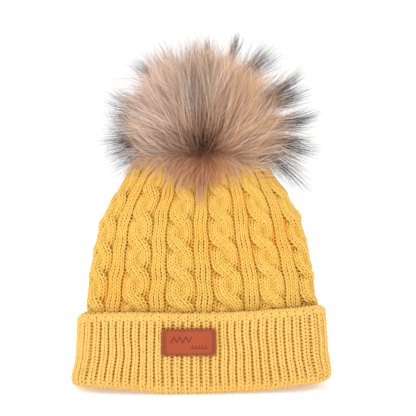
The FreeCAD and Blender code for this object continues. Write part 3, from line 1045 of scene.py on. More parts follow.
# ------------------------------------------------------------------------------------------------
# inside the hat, the snap and the pompom's core
# ------------------------------------------------------------------------------------------------
def rope(name, centre_line, radius, mat, strands=3, pitch=5.0, sides=7, closed=False, normal=(0, 0, 1)):
    """A plied yarn: strands that wind round a centre line (n, 3)."""
    c = np.asarray(centre_line, float)
    n = len(c)
    nxt = np.roll(c, -1, 0) if closed else np.concatenate([c[1:], 2 * c[-1:] - c[-2:-1]])
    prv = np.roll(c, 1, 0) if closed else np.concatenate([2 * c[:1] - c[1:2], c[:-1]])
    tan = unit(nxt - prv)
    nr = np.broadcast_to(np.asarray(normal, float), c.shape)
    side = unit(np.cross(tan, nr))
    up = np.cross(side, tan)
    L = np.concatenate([[0], np.cumsum(np.linalg.norm(np.diff(c, axis=0), axis=1))])
    total = L[-1] + (np.linalg.norm(c[0] - c[-1]) if closed else 0)
    turns = max(1, round(total / pitch))
    out = []
    for s in range(strands):
        a = 2 * math.pi * (L / total * turns + s / strands)
        out.append(c + (side * np.cos(a)[:, None] + up * np.sin(a)[:, None]) * radius * 0.52)
    P = np.array(out)
    r = np.full(P.shape[:2], radius * 0.56)
    if closed:
        verts, quads, uv = tubes(P, np.broadcast_to(nr, P.shape), r, sides, closed=True)
        return add_mesh(name, verts, quads, uv, None, None, mats=[mat])
    r[:, 0] = r[:, -1] = radius * 0.2
    verts, quads, uv = tubes(P, np.broadcast_to(nr, P.shape), r, sides, closed=False)
    idx = np.arange(len(verts)).reshape(strands, n, sides)
    caps = []
    for cc in (idx[:, 0], idx[:, -1, ::-1]):
        for k in range(1, sides - 1):
            caps.append(np.stack([cc[:, 0], cc[:, k + 1], cc[:, k]], -1))
    tris = np.concatenate(caps)
    return add_mesh(name, verts, quads, np.concatenate([uv, np.zeros((len(tris) * 3, 2))]), None, None, tris=tris, mats=[mat])


# the bound edge along the cuff's top
i_top = int(np.argmax(cuff_surface.P[:, 0, 2]))
u_edge = np.linspace(0, 1, 1500, endpoint=False)
edge_line, _ = cuff_surface.at(u_edge, np.full(1500, cuff_surface.q[i_top] - 0.9), 0.2 + 0.25 * np.sin(u_edge * 2 * math.pi * N_RIBS))
edge = rope("cuff_bound_edge", lift_sides(edge_line), 1.35, CUFF_YARN, 2, 4.4, 7, closed=True)
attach(edge, "cuff")
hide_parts("cuff_outer")

# the seam at the back: a row of slanted whip stitches up the band's inner face
seam_lo, seam_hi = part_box("back_seam_yarn")
zz = np.linspace(seam_lo.z / MM + 1.0, seam_hi.z / MM - 1.0, 180)
y_seam = seam_lo.y / MM + 0.75
line = np.stack([0.95 * np.sin(zz * 2 * math.pi / 4.4), y_seam + 0.25 * np.cos(zz * 4 * math.pi / 4.4), zz], -1)
seam = rope("back_seam_whip_stitch", line, 0.75, YARN_THREAD, 3, 4.0, 6, normal=(0, 1, 0))
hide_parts("back_seam_yarn")
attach(seam, "crown")

# the gather thread under the crown's top
g_lo, g_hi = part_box("crown_gather_thread")
t = np.linspace(0, 2 * math.pi, 240, endpoint=False)
gz = (g_lo.z + g_hi.z) / 2 / MM - 0.3
gather = rope("crown_gather_yarn", np.stack([(11.6 + 0.5 * np.sin(13 * t)) * np.cos(t), (11.6 + 0.5 * np.sin(13 * t)) * np.sin(t),
                                           gz + 0.5 * np.cos(13 * t)], -1), 0.85, YARN_THREAD, 3, 5.0, 6, closed=True)
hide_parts("crown_gather_thread")
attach(gather, "crown")


def sheet_tag():
    """The blank care label: a folded cloth tag that hangs from the band's inner face, slightly curled."""
    lo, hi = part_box("care_label")
    x0, x1, z0, z1 = lo.x / MM, hi.x / MM, lo.z / MM, hi.z / MM
    nx, nz = 40, 56
    X, Z = np.meshgrid(np.linspace(x0, x1, nx), np.linspace(z0, z1, nz))
    b = 44.7
    y = b * (1 - (np.abs(X) / 90.7) ** 4) ** 0.25
    fall = (z1 - Z) / (z1 - z0)
    curl = 1.7 * fall ** 2 * (0.6 + 0.4 * np.sin((X - x0) / (x1 - x0) * math.pi)) + 0.35 * np.sin(Z * 0.35) * fall
    th = 0.35
    y = y - 0.6 - curl
    A = np.stack([X, y - th / 2, Z], -1)
    B = np.stack([X, y + th / 2, Z], -1)
    idx = np.arange(nx * nz).reshape(nz, nx)
    fo = np.stack([idx[:-1, :-1], idx[:-1, 1:], idx[1:, 1:], idx[1:, :-1]], -1).reshape(-1, 4)
    fi = fo[:, ::-1] + nx * nz
    ring = np.concatenate([idx[0, :-1], idx[:-1, -1], idx[-1, :0:-1], idx[:0:-1, 0]])
    nxt = np.roll(ring, -1)
    side = np.stack([ring, ring + nx * nz, nxt + nx * nz, nxt], -1)
    return add_mesh("care_tag_blank", np.concatenate([A.reshape(-1, 3), B.reshape(-1, 3)]), np.concatenate([fo, fi, side]), None, None, mats=[TAG])


tag = sheet_tag()
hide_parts("care_label")
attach(tag, "crown")

# CAD pieces whose shape is right keep it and get their finish
FINISH = {"snap_post_cap": SNAP_METAL, "snap_stud": SNAP_METAL,
          "snap_socket": SNAP_METAL, "snap_socket_cap": SNAP_METAL, "snap_ring_spring": SPRING_METAL}
for node, mat in FINISH.items():
    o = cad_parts[node]
    o.data.materials.clear()
    o.data.materials.append(mat)

d_lo, d_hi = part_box("pompom_draw_thread")
rd = ((d_hi.x - d_lo.x) / 2 / MM) - 0.8
t = np.linspace(0, 2 * math.pi, 200, endpoint=False)
draw = rope("pompom_draw_cord", np.stack([rd * np.cos(t), rd * np.sin(t), d_lo.z / MM + 0.75 + 0.12 * np.sin(9 * t)], -1),
            0.62, DARK_THREAD, 2, 3.6, 6, closed=True)
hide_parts("pompom_draw_thread")
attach(draw, "pompom")


def felt_ring(name, node, mat, seed):
    """A punched felt ring: soft, slightly uneven faces and a cut edge that isn't perfectly even."""
    lo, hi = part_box(node)
    r1, z0, z1 = (hi.x - lo.x) / 2 / MM, lo.z / MM, hi.z / MM
    r0 = {"felt_washer": 2.25, "pompom_base_disc": 1.55}[node]
    th = z1 - z0
    n, m = 180, 44
    s = np.linspace(0, 1, m, endpoint=False)
    prof = []                                              # a rounded rectangle, started on the inner wall
    c = min(0.42, th * 0.42)
    corners = [(r0 + c, z0 + c, 180, 270), (r1 - c, z0 + c, 270, 360), (r1 - c, z1 - c, 0, 90), (r0 + c, z1 - c, 90, 180)]
    for cx, cz, a0, a1 in corners:
        for a in np.radians(np.linspace(a0, a1, 7)):
            prof.append((cx + c * math.cos(a), cz + c * math.sin(a)))
    prof = np.array(prof)
    dense = []
    for k in range(len(prof)):
        a, b = prof[k], prof[(k + 1) % len(prof)]
        steps = max(1, int(np.hypot(*(b - a)) / 0.5))
        for i in range(steps):
            dense.append(a + (b - a) * i / steps)
    prof = np.array(dense)
    ang = np.arange(n) * 2 * math.pi / n
    P = np.empty((n, len(prof), 3))
    P[..., 0] = prof[None, :, 0] * np.cos(ang)[:, None]
    P[..., 1] = prof[None, :, 0] * np.sin(ang)[:, None]
    P[..., 2] = prof[None, :, 1]
    w = wave_noise(P, seed, 3, 3.0)
    out = (prof[None, :, 0] - r0) / (r1 - r0)
    P[..., :2] *= (1 - 0.016 * np.abs(w) * out)[..., None]
    P[..., 2] += 0.05 * wave_noise(P, seed + 1, 3, 2.2) * np.where(prof[None, :, 1] > (z0 + z1) / 2, -1.0, 1.0).clip(-1, 1)
    P[..., 2] = np.clip(P[..., 2], z0 + 0.01, z1 - 0.01)
    idx = np.arange(n * len(prof)).reshape(n, len(prof))
    r, u = np.roll(idx, -1, 0), np.roll(idx, -1, 1)
    quads = np.stack([idx, r, np.roll(r, -1, 1), u], -1).reshape(-1, 4)
    o = add_mesh(name, P.reshape(-1, 3), quads, None, None, None, mats=[mat])
    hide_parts(node)
    return o


washer = felt_ring("crown_felt_washer", "felt_washer", FELT, 71)
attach(washer, "crown")
disc = felt_ring("pompom_felt_disc", "pompom_base_disc", FELT, 72)
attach(disc, "snap_base")


# --- the pompom's core: a gathered round of pelt over a ball of fibre ---------------------------
b_lo, b_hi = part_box("pompom_pelt")
PR = (b_hi.x - b_lo.x) / 2 / MM
PC = np.array([0.0, 0.0, b_hi.z / MM - PR])
MOUTH = b_lo.z / MM


def pelt_mesh():
    n, m = 192, 60
    th_end = math.acos(max(-1.0, (MOUTH - PC[2]) / PR))
    th = np.linspace(0.02, th_end, m)
    ang = np.arange(n) * 2 * math.pi / n
    fold = smooth01((th - th_end + 0.75) / 0.75)[:, None]
    pleat = np.cos(14 * ang)[None] * fold
    rings = []
    for inner in (False, True):
        r = PR - (1.3 if inner else 0.0) - 0.12 * (1 - fold) + 0 * pleat
        r = r - 0.75 * fold * (1 - np.cos(14 * ang)[None]) * (0.6 if inner else 1.0)
        P = np.empty((m, n, 3))
        P[..., 0] = r * np.sin(th)[:, None] * np.cos(ang)[None]
        P[..., 1] = r * np.sin(th)[:, None] * np.sin(ang)[None]
        P[..., 2] = PC[2] + r * np.cos(th)[:, None]
        P[..., 2] = np.maximum(P[..., 2], MOUTH + 0.05)
        rings.append(P)
    A, B = rings
    idx = np.arange(m * n).reshape(m, n)
    r = np.roll(idx, -1, 1)
    fo = np.stack([idx[:-1], idx[1:], r[1:], r[:-1]], -1).reshape(-1, 4)
    fi = np.stack([idx[:-1], r[:-1], r[1:], idx[1:]], -1).reshape(-1, 4) + m * n
    rim = np.stack([idx[-1], idx[-1] + m * n, r[-1] + m * n, r[-1]], -1)
    verts = np.concatenate([A.reshape(-1, 3), B.reshape(-1, 3), [[0, 0, PC[2] + PR - 0.12]], [[0, 0, PC[2] + PR - 1.42]]])
    top = 2 * m * n
    tris = np.concatenate([np.stack([idx[0], r[0], np.full(n, top)], -1),
                           np.stack([r[0] + m * n, idx[0] + m * n, np.full(n, top + 1)], -1)])
    return add_mesh("pompom_pelt_skin", verts, np.concatenate([fo, fi, rim]), tris=tris, mats=[PELT])


def fibre_ball():
    n, m = 120, 70
    R0 = PR - 1.75
    th_end = math.acos(max(-1.0, (MOUTH + 0.6 - PC[2]) / R0))
    th = np.linspace(0.03, th_end, m)
    ang = np.arange(n) * 2 * math.pi / n
    d = np.stack([np.sin(th)[:, None] * np.cos(ang), np.sin(th)[:, None] * np.sin(ang), np.cos(th)[:, None] + 0 * ang], -1)
    r = R0 + 0.25 * wave_noise(d * R0, 81, 3, 7.0) - 0.3
    P = PC + d * r[..., None]
    # the flat underside, a little domed, seen through the pelt's mouth
    rr = np.linspace(0.93, 0.07, 14)
    under = P[-1][None] * np.array([1, 1, 0]) * rr[:, None, None]
    under = under + np.array([0, 0, 1.0]) * (MOUTH + 0.5 + 0.35 * wave_noise(under, 82, 3, 4.0)[..., None] - 0.3 * (1 - rr ** 2)[:, None, None])
    G = np.concatenate([P, under])
    k = len(G)
    idx = np.arange(k * n).reshape(k, n)
    r_ = np.roll(idx, -1, 1)
    quads = np.stack([idx[:-1], idx[1:], r_[1:], r_[:-1]], -1).reshape(-1, 4)
    verts = np.concatenate([G.reshape(-1, 3), [[0, 0, PC[2] + R0 - 0.3]], [[0, 0, G[-1, :, 2].mean()]]])
    tris = np.concatenate([np.stack([idx[0], r_[0], np.full(n, k * n)], -1),
                           np.stack([r_[-1], idx[-1], np.full(n, k * n + 1)], -1)])
    return add_mesh("pompom_fibre_ball", verts, quads, tris=tris, mats=[STUFF])


pelt = pelt_mesh()
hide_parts("pompom_pelt")
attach(pelt, "pompom")
core = fibre_ball()
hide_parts("pompom_stuffing")
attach(core, "pompom")


# ------------------------------------------------------------------------------------------------
# the crown's gathered top: pleats drawn in under the snap
# ------------------------------------------------------------------------------------------------
def gathered_top():
    n, m = 26 * 12, 34
    r = np.linspace(27.0, 2.6, m)[:, None]
    ang = (np.arange(n) * 2 * math.pi / n)[None]
    base = pchip(np.array([2, 5, 8, 13, 18, 22, 27.5]), np.array([197.6, 197.75, 198.0, 197.8, 197.0, 196.0, 194.2]), r)
    squash = 1 - 0.22 * smooth01((r - 10) / 15) * np.sin(ang) ** 2                 # the top is a little oval further out
    amp = np.interp(r, [2.6, 7, 12, 20, 27], [0.1, 0.35, 0.9, 1.0, 0.5])
    wob = 0.10 * np.sin(3 * ang + 1) + 0.07 * np.sin(7 * ang)
    pleat = np.abs(np.cos(13 * (ang + wob * 0.25))) ** 0.8 * 2 - 1.1
    z = base + amp * pleat
    P = np.stack([r * np.cos(ang) + 0 * z, r * np.sin(ang) * squash, z], -1)
    Q = P - np.array([0, 0, 1.5])
    idx = np.arange(m * n).reshape(m, n)
    s = np.roll(idx, -1, 1)
    fo = np.stack([idx[:-1], s[:-1], s[1:], idx[1:]], -1).reshape(-1, 4)
    fi = np.stack([idx[:-1], idx[1:], s[1:], s[:-1]], -1).reshape(-1, 4) + m * n
    e0 = np.stack([idx[0], idx[0] + m * n, s[0] + m * n, s[0]], -1)
    e1 = np.stack([idx[-1], s[-1], s[-1] + m * n, idx[-1] + m * n], -1)
    verts = np.concatenate([P.reshape(-1, 3), Q.reshape(-1, 3)])
    body = add_mesh("crown_gathered_top", verts, np.concatenate([fo, fi, e0, e1]), mats=[BACKING])
    # yarn over the pleats: long stitches that run in to the middle
    lines = []
    N = 104
    rr = np.linspace(23.5, 5.9, 14)
    for i in range(N):
        a = 2 * math.pi * (i + 0.15 * math.sin(i * 2.4)) / N
        w = 0.10 * np.sin(3 * a + 1) + 0.07 * np.sin(7 * a)
        aa = a + 0.02 * np.sin(rr * 0.5 + i)
        zb = pchip(np.array([2, 5, 8, 13, 18, 22, 27.5]), np.array([197.6, 197.75, 198.0, 197.8, 197.0, 196.0, 194.2]), rr)
        am = np.interp(rr, [2.6, 7, 12, 20, 27], [0.1, 0.35, 0.9, 1.0, 0.5])
        pl = np.abs(np.cos(13 * (aa + w * 0.25))) ** 0.8 * 2 - 1.1
        zz = zb + am * pl + 0.35 + 0.25 * np.sin(rr * 1.9 + i * 1.7)
        sq = 1 - 0.22 * smooth01((rr - 10) / 15) * np.sin(aa) ** 2
        zz = np.minimum(zz, np.where(rr < 8.6, 198.35, 199.6))
        lines.append(np.stack([rr * np.cos(aa), rr * np.sin(aa) * sq, zz], -1))
    L = np.array(lines)
    rad = np.interp(rr, [5.9, 9, 16, 23.5], [0.42, 0.55, 0.82, 0.9])[None] * np.ones((N, 1))
    verts, quads, uv = tubes(L, np.broadcast_to([0, 0, 1.0], L.shape), rad, 7, closed=False)
    yarn = add_mesh("crown_gathered_stitches", verts, quads, uv, strip_uv(N, 13, 7),
                    {"low": np.zeros(len(verts))}, mats=[CROWN_YARN])
    for o in (body, yarn):
        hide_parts("crown_knit")
        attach(o, "crown")


gathered_top()


# ------------------------------------------------------------------------------------------------
# fur
# ------------------------------------------------------------------------------------------------
CROWN_Z = np.array([r[0] for r in CROWN] + [200.6, 203.0])
CROWN_A = np.array([r[1] for r in CROWN] + [3.0, 0.4])
CROWN_B = np.array([r[2] for r in CROWN] + [3.0, 0.4])


def crown_far(p):
    """Above zero outside the crown; about the distance in mm once divided by its slope."""
    a = np.interp(p[..., 2], CROWN_Z, CROWN_A)
    b = np.interp(p[..., 2], CROWN_Z, CROWN_B)
    return (np.abs(p[..., 0] / a) ** 2.3 + np.abs(p[..., 1] / b) ** 2.3) ** (1 / 2.3)


def push_out(p, margin):
    """Moves points that are within margin of the crown's surface out to it, or out of the crown."""
    p = p.copy()
    for _ in range(4):
        near = p[..., 2] < 206
        f = crown_far(p) - 1
        e = 0.6
        g = np.stack([crown_far(p + np.array(o)) - crown_far(p - np.array(o)) for o in ((e, 0, 0), (0, e, 0), (0, 0, e))], -1) / (2 * e)
        gl = np.maximum(np.linalg.norm(g, axis=-1), 0.006)
        dist = f / gl
        need = np.where(near & (dist < margin), margin - dist, 0.0)
        p += g / gl[..., None] * np.minimum(need, 9.0)[..., None]
    return p


W = unit(np.array([0.080, -0.645, -0.760]))
E1 = unit(np.array([0.0, 0.0, 1.0]) - W[2] * W)
E2 = np.cross(E1, W)

# the tufts with black tips that stand out of the outline, in millimetres from the pelt's middle (x, z): where the
# black starts, where the tuft ends, how wide it is and how full
TUFTS = [(71, 17, 91.5, 41, 6.0, 1.0), (76, 11, 100, 23, 5.5, 0.7), (79.5, -10, 105, 3, 6.0, 1.0), (78, -29, 105, -31, 6.0, 1.0),
         (72, -40, 96, -68, 8.0, 0.5), (-60, -5, -84, 0, 7.0, 0.7), (-59.5, -22, -87.5, -28, 8.5, 0.9), (-62, -36, -83, -44, 7.0, 0.35),
         (-41.5, 37, -62, 50, 6.0, 0.7), (9.6, 59, 6, 73, 3.0, 0.45), (33.5, 58, 32.5, 77, 3.5, 0.7), (52, 46, 70, 60, 8.0, 0.6),
         (-35, 48, -43, 60, 6.0, 0.3), (-69, 11, -81, 22, 6.0, 0.35), (30, -8, 44, 4, 5.0, 0.0)]


def polar(theta, alpha):
    return (np.cos(theta)[..., None] * W + np.sin(theta)[..., None]
            * (np.cos(alpha)[..., None] * E1 + np.sin(alpha)[..., None] * E2))


def envelope(d):
    """How far the fur's dense body reaches from the pelt's middle in direction d."""
    ax = np.where(d[..., 0] > 0, 78.0, 66.0)
    ay = np.where(d[..., 1] > 0, 65.0, 62.0)
    az = np.where(d[..., 2] > 0, 55.0, 57.0)
    e = 1 / np.sqrt((d[..., 0] / ax) ** 2 + (d[..., 1] / ay) ** 2 + (d[..., 2] / az) ** 2)
    dimple = 0.27 * np.exp(-(np.arccos(np.clip(d @ W, -1, 1)) / 0.36) ** 2)
    return e * (1 + 0.075 * wave_noise(d * 60, 91, 2, 34.0)) * (1 - dimple)


def hair_paths(theta, alpha, dtheta, dalpha, reach, K):
    """Curved hairs that leave the pelt steeply and then sweep away from the whorl."""
    t3, a3 = theta + dtheta, alpha + dalpha
    d3 = polar(t3, a3)
    r3 = envelope(d3) * reach
    near = 0.95 * np.exp(-(theta / 0.50) ** 2)
    far = smooth01((np.degrees(theta) - 15) / 75)
    r1 = PR + (r3 - PR) * 0.36 + (75.0 - PR - (r3 - PR) * 0.36) * near
    r2 = r3 * (0.98 - 0.20 * far)
    d0, d1, d2 = polar(theta, alpha), polar(theta + 0.07 * dtheta, alpha + 0.05 * dalpha), polar(theta + (0.50 - 0.26 * near) * dtheta, alpha + 0.5 * dalpha)
    P0, P1, P2, P3 = (PC + d * r[..., None] for d, r in ((d0, PR - 0.4 + 0 * r3), (d1, r1), (d2, r2), (d3, r3)))
    t = np.linspace(0, 1, K)[None, :, None]
    return ((1 - t) ** 3 * P0[:, None] + 3 * (1 - t) ** 2 * t * P1[:, None] + 3 * (1 - t) * t * t * P2[:, None] + t ** 3 * P3[:, None])


def sweep(theta, alpha):
    deg = np.degrees(theta)
    d = 10 + 60 * np.exp(-(deg / 84) ** 2)
    down = 0.5 - 0.5 * np.cos(alpha)                       # 0 for hairs that go up, 1 for those that go down
    d = d * (1 - 0.55 * down ** 2.2 * np.exp(-(deg / 60) ** 2))
    return np.radians(d)


def crown_point(az, z):
    """A point of the crown's outer surface at azimuth az (0 is the front, growing towards +X) and height z."""
    a, b = np.interp(z, CROWN_Z, CROWN_A), np.interp(z, CROWN_Z, CROWN_B)
    c, s = np.sin(az), -np.cos(az)
    r = (np.abs(c / a) ** 2.3 + np.abs(s / b) ** 2.3) ** (-1 / 2.3)
    return np.stack([r * c, r * s, z], -1)


def fringe_paths(az, daz, ztip, lift, K, forward):
    """Hairs from round the pelt's mouth that come out over the crown's shoulder and lie on it."""
    el = -0.93 + 0.17 * forward
    d0 = np.stack([np.sin(az) * np.cos(el), -np.cos(az) * np.cos(el), np.sin(el)], -1)
    P0 = PC + d0 * (PR - 0.4)
    tip = crown_point(az + daz, ztip)
    out = np.stack([np.sin(az), -np.cos(az), 0 * az], -1)
    hub = unit(W * forward[:, None] + (out * 0.80 + np.array([0, 0, -0.6])) * (1 - forward)[:, None])
    P1 = PC + hub * (31 + 42 * forward + 2.3 * (lift - 4.5))[:, None]
    shoulder = crown_point(az + 0.6 * daz, np.minimum(ztip + 13, 196.0))
    P2 = shoulder + out * (lift * 1.3)[:, None] + np.array([0, 0, 1.0]) * (lift * 1.2)[:, None]
    P3 = tip + out * (lift * 0.9)[:, None]
    t = np.linspace(0, 1, K)[None, :, None]
    return ((1 - t) ** 3 * P0[:, None] + 3 * (1 - t) ** 2 * t * P1[:, None] + 3 * (1 - t) * t * t * P2[:, None] + t ** 3 * P3[:, None])


def side_paths(tip, sway, K):
    """Hairs that leave the whorl sideways and hang in front of the crown's shoulders."""
    n = len(tip)
    P0 = PC + unit(W + 0.22 * sway) * (PR - 0.4)
    P1 = PC + unit(W + 0.05 * sway) * (71 + 3 * sway[:, :1])
    hub = PC + W * 51
    P2 = hub + (tip - hub) * 0.45 + np.array([0, -7.0, 3.0]) + 2.0 * sway
    t = np.linspace(0, 1, K)[None, :, None]
    return ((1 - t) ** 3 * P0[:, None] + 3 * (1 - t) ** 2 * t * P1[:, None] + 3 * (1 - t) * t * t * P2[:, None] + t ** 3 * tip[:, None])


def nearest(points, guides):
    tree = KDTree(len(guides))
    for i, g in enumerate(guides.tolist()):
        tree.insert(g, i)
    tree.balance()
    return np.array([tree.find(w)[1] for w in points.tolist()])


def build_fur():
    rng = np.random.default_rng(505)
    pieces = 7
    per = 5450
    N = pieces * per
    NF = int(N * 0.12)                                        # fringe over the crown's shoulder
    NS = int(N * 0.09)                                        # hairs that hang beside it
    share = np.array([f * w / 6.0 * 230 * N / 38150 for *_, w, f in TUFTS]).astype(int)
    NT = int(share.sum()) * 2                                 # the black-tipped tufts: as many again round the back
    NB = N - NF - NS - NT
    K = 7
    t = np.linspace(0, 1, K)
    # --- the ball: roots over the pelt, denser round the whorl
    got = []
    while sum(len(g) for g in got) < NB:
        d = unit(rng.normal(size=(NB * 2, 3)))
        th = np.arccos(np.clip(d @ W, -1, 1))
        keep = (d[:, 2] > (MOUTH - PC[2]) / PR + 0.015) & (rng.random(len(d)) < (1 + 1.7 * np.exp(-(th / 0.95) ** 2)) / 2.7)
        got.append(d[keep])
    d = np.concatenate(got)[:NB]
    th = np.arccos(np.clip(d @ W, -1, 1))
    al = np.arctan2(d @ E2, d @ E1)
    # tufts: about 170 locks that each lean their own way, and 1700 fine strands of hair inside them
    T, G = 230, 1700
    t_i, g_i = rng.choice(NB, T, replace=False), rng.choice(NB, G, replace=False)
    t_dt, t_da, t_re = 0.21 * rng.normal(size=T), 0.42 * rng.normal(size=T), 1 + 0.07 * rng.normal(size=T)
    tuft_g = nearest(d[g_i] + 0.03 * rng.normal(size=(G, 3)), d[t_i])
    near = nearest(d + 0.035 * rng.normal(size=d.shape), d[g_i])
    tuft = tuft_g[near]
    near_w = np.exp(-(th / 0.5) ** 2)

    def params(th_, al_, d_, tf, n, k):
        calm = 1 - 0.5 * np.exp(-(th_ / 0.4) ** 2)
        dt = sweep(th_, al_) * (1 + k * rng.normal(size=n)).clip(0.3, 1.8) + t_dt[tf] * calm
        da = (0.20 * wave_noise(d_ * 60, 93, 2, 30.0) + t_da[tf]) * calm * np.exp(-(th_ / 2.4) ** 2) + 0.6 * k * rng.normal(size=n)
        return dt, da

    g_dt, g_da = params(th[g_i], al[g_i], d[g_i], tuft_g, G, 0.12)
    g_re = (0.94 + 0.06 * rng.normal(size=G)) * t_re[tuft_g]
    gp = hair_paths(th[g_i], al[g_i], g_dt, g_da, g_re, K)
    tt_dt, tt_da = sweep(th[t_i], al[t_i]) + t_dt, t_da * np.exp(-(th[t_i] / 2.4) ** 2)
    tp = hair_paths(th[t_i], al[t_i], tt_dt, tt_da, t_re, K)
    guard = rng.random(NB) < 0.20
    reach = np.where(guard, 1.00 + 0.27 * rng.random(NB) ** 1.8, 0.70 + 0.30 * rng.random(NB) ** 0.7) * t_re[tuft] ** 0.7
    dt, da = params(th, al, d, tuft, NB, 0.20)
    p = hair_paths(th, al, dt, da, reach, K)
    own = np.linalg.norm(np.diff(p, axis=1), axis=-1).sum(1)
    clump = np.where(guard, rng.uniform(0.05, 0.55, NB), rng.uniform(0.25, 0.80, NB)) * (rng.random(NB) > 0.08)
    c = clump[:, None] * t[None] ** 1.25
    p = p * (1 - c[..., None]) + gp[near] * c[..., None]
    c = (rng.uniform(0.10, 0.42, NB) * (rng.random(NB) > 0.1))[:, None] * t[None] ** 1.6
    p = p * (1 - c[..., None]) + tp[tuft] * c[..., None]
    now = np.linalg.norm(np.diff(p, axis=1), axis=-1).sum(1)
    p = p[:, :1] + (p - p[:, :1]) * np.clip(own / now, 0.75, 1.35)[:, None, None] ** 0.8
    # --- the fringe
    fg = rng.random(NF) < 0.17
    az = np.where(rng.random(NF) < 0.5, rng.normal(0, 0.75, NF), rng.uniform(-math.pi, math.pi, NF))
    az = (az + math.pi) % (2 * math.pi) - math.pi
    # long wisps that hang over the knit: angle round the crown, height of the tip, hairs
    wr = np.random.default_rng(707)
    wisps = [(-0.02, 144, 125), (-0.16, 154, 80), (0.10, 160, 50), (0.70, 160, 80), (0.50, 169, 50), (-0.62, 168, 70),
             (-0.98, 172, 60), (-0.40, 162, 50), (1.05, 176, 30), (2.6, 168, 50), (-2.5, 166, 50), (-1.8, 172, 40)]
    lockn = [max(3, int(n * N / 38150)) for _, _, n in wisps]
    wn = np.repeat(np.arange(len(wisps)), lockn)
    M = len(wn)
    az[:M] = np.array([w[0] for w in wisps])[wn] + 0.022 * wr.normal(size=M)
    F = 260
    f_az = np.concatenate([rng.normal(0, 0.8, F // 2), rng.uniform(-math.pi, math.pi, F - F // 2)])
    f_da = 0.20 * rng.normal(size=F)
    def edge(a):
        """How far down the fringe reaches: longest in the middle of the front, short over the right shoulder."""
        return np.interp((a + math.pi) % (2 * math.pi) - math.pi,
                         [-3.2, -1.5, -0.95, -0.65, -0.35, -0.1, 0.12, 0.35, 0.6, 1.1, 1.5, 3.2],
                         [182, 183, 180, 176, 169, 163, 163, 171, 181, 187, 185, 182])
    f_z = edge(f_az) + 5.5 * rng.normal(size=F)
    f_lift = rng.uniform(1.5, 8.5, F)
    diff = np.abs((az[:, None] - f_az[None] + math.pi) % (2 * math.pi) - math.pi) + 0.10 * rng.random((NF, F))
    fn = diff.argmin(1)
    fwd = lambda a: np.clip(np.cos(a), 0, 1) ** 2
    ztip = edge(az) + 6.0 * rng.normal(size=NF).clip(-1.6, 2) - np.where(fg, 19.0 * rng.random(NF) ** 1.2, 0.0)
    ztip[:M] = np.array([w[1] for w in wisps])[wn] + 22 * wr.random(M) ** 1.6
    daz = 0.24 * rng.normal(size=NF)
    daz[:M] = 0.10 * wr.normal(size=len(wisps))[wn] + 0.025 * wr.normal(size=M)
    flift = rng.uniform(1.5, 8.5, NF)
    flift[:M] = wr.uniform(1.0, 3.5, M)
    q = fringe_paths(az, daz, ztip, flift, K, fwd(az))
    qg = fringe_paths(f_az, f_da, f_z, f_lift, K, fwd(f_az))
    c = (rng.uniform(0.28, 0.80, NF) * (rng.random(NF) > 0.15) * (np.arange(NF) >= M))[:, None] * t[None] ** 1.2
    q = q * (1 - c[..., None]) + qg[fn] * c[..., None]
    # --- the hanging sides, in locks of their own
    L = 90
    l_az = rng.choice([-1.0, 1.0], L) * rng.uniform(0.75, 2.0, L)
    l_el = np.radians(rng.uniform(-31, -3, L))
    l_re = rng.uniform(0.88, 1.10, L)
    ln = rng.integers(0, L, NS)
    sg = rng.random(NS) < 0.22
    s_az, s_el = l_az[ln] + 0.085 * rng.normal(size=NS), l_el[ln] + 0.06 * rng.normal(size=NS)
    sd = np.stack([np.sin(s_az) * np.cos(s_el), -np.cos(s_az) * np.cos(s_el), np.sin(s_el)], -1)
    s_tip = PC + sd * (envelope(sd) * l_re[ln] * np.where(sg, rng.uniform(0.98, 1.18, NS), rng.uniform(0.72, 1.0, NS)))[:, None]
    r = side_paths(s_tip, rng.normal(size=(NS, 3)).clip(-2, 2), K)
    # --- the black-tipped tufts
    which = np.repeat(np.arange(len(TUFTS)), share)
    tf = np.array(TUFTS)
    ang_y = np.zeros(len(which))
    which = np.concatenate([which, which])
    rear = np.arange(NT) >= NT // 2
    turn = np.where(rear, np.radians(rng.uniform(35, 145, len(TUFTS)))[which], 0.0) + 0.08 * rng.normal(size=NT)
    x_a, z_a, x_b, z_b, wide = (tf[which, k] for k in range(5))
    full = tf[which, 5]
    squash = np.where(rear, 0.86, 1.0)
    ct, st = np.cos(turn), np.sin(turn)
    A3 = np.stack([x_a * ct * squash, np.abs(x_a) * st * squash + np.where(rear, 0, -5.0), z_a], -1)
    B3 = np.stack([x_b * ct * squash, np.abs(x_b) * st * squash + np.where(rear, 0, -5.0), z_b], -1)
    side = unit(np.cross(A3, B3 - A3) + 1e-3)
    side2 = unit(np.cross(side, B3 - A3))
    j1, j2 = rng.normal(size=NT).clip(-2, 2), rng.normal(size=NT).clip(-2, 2)
    off = side * (j1 * wide * 1.1)[:, None] + side2 * (j2 * wide * 0.72)[:, None]
    tipT = PC + A3 + (B3 - A3) * (rng.random(NT) ** 0.8 * 1.0 * (1 - 0.16 * np.abs(j2)) + 0.06)[:, None] + off * 1.15
    rootT = PC + unit(A3 + 9 * rng.normal(size=(NT, 3))) * (PR - 0.4)
    rootT[:, 2] = np.maximum(rootT[:, 2], MOUTH + 0.6)
    c1 = PC + A3 * 0.55 + off * 0.35 + rng.normal(size=(NT, 3)) * 2.5
    c2 = PC + A3 * 0.95 + off * 0.62 + rng.normal(size=(NT, 3)) * 1.2
    tb = t[None, :, None]
    q3 = ((1 - tb) ** 3 * rootT[:, None] + 3 * (1 - tb) ** 2 * tb * c1[:, None] + 3 * (1 - tb) * tb * tb * c2[:, None] + tb ** 3 * tipT[:, None])
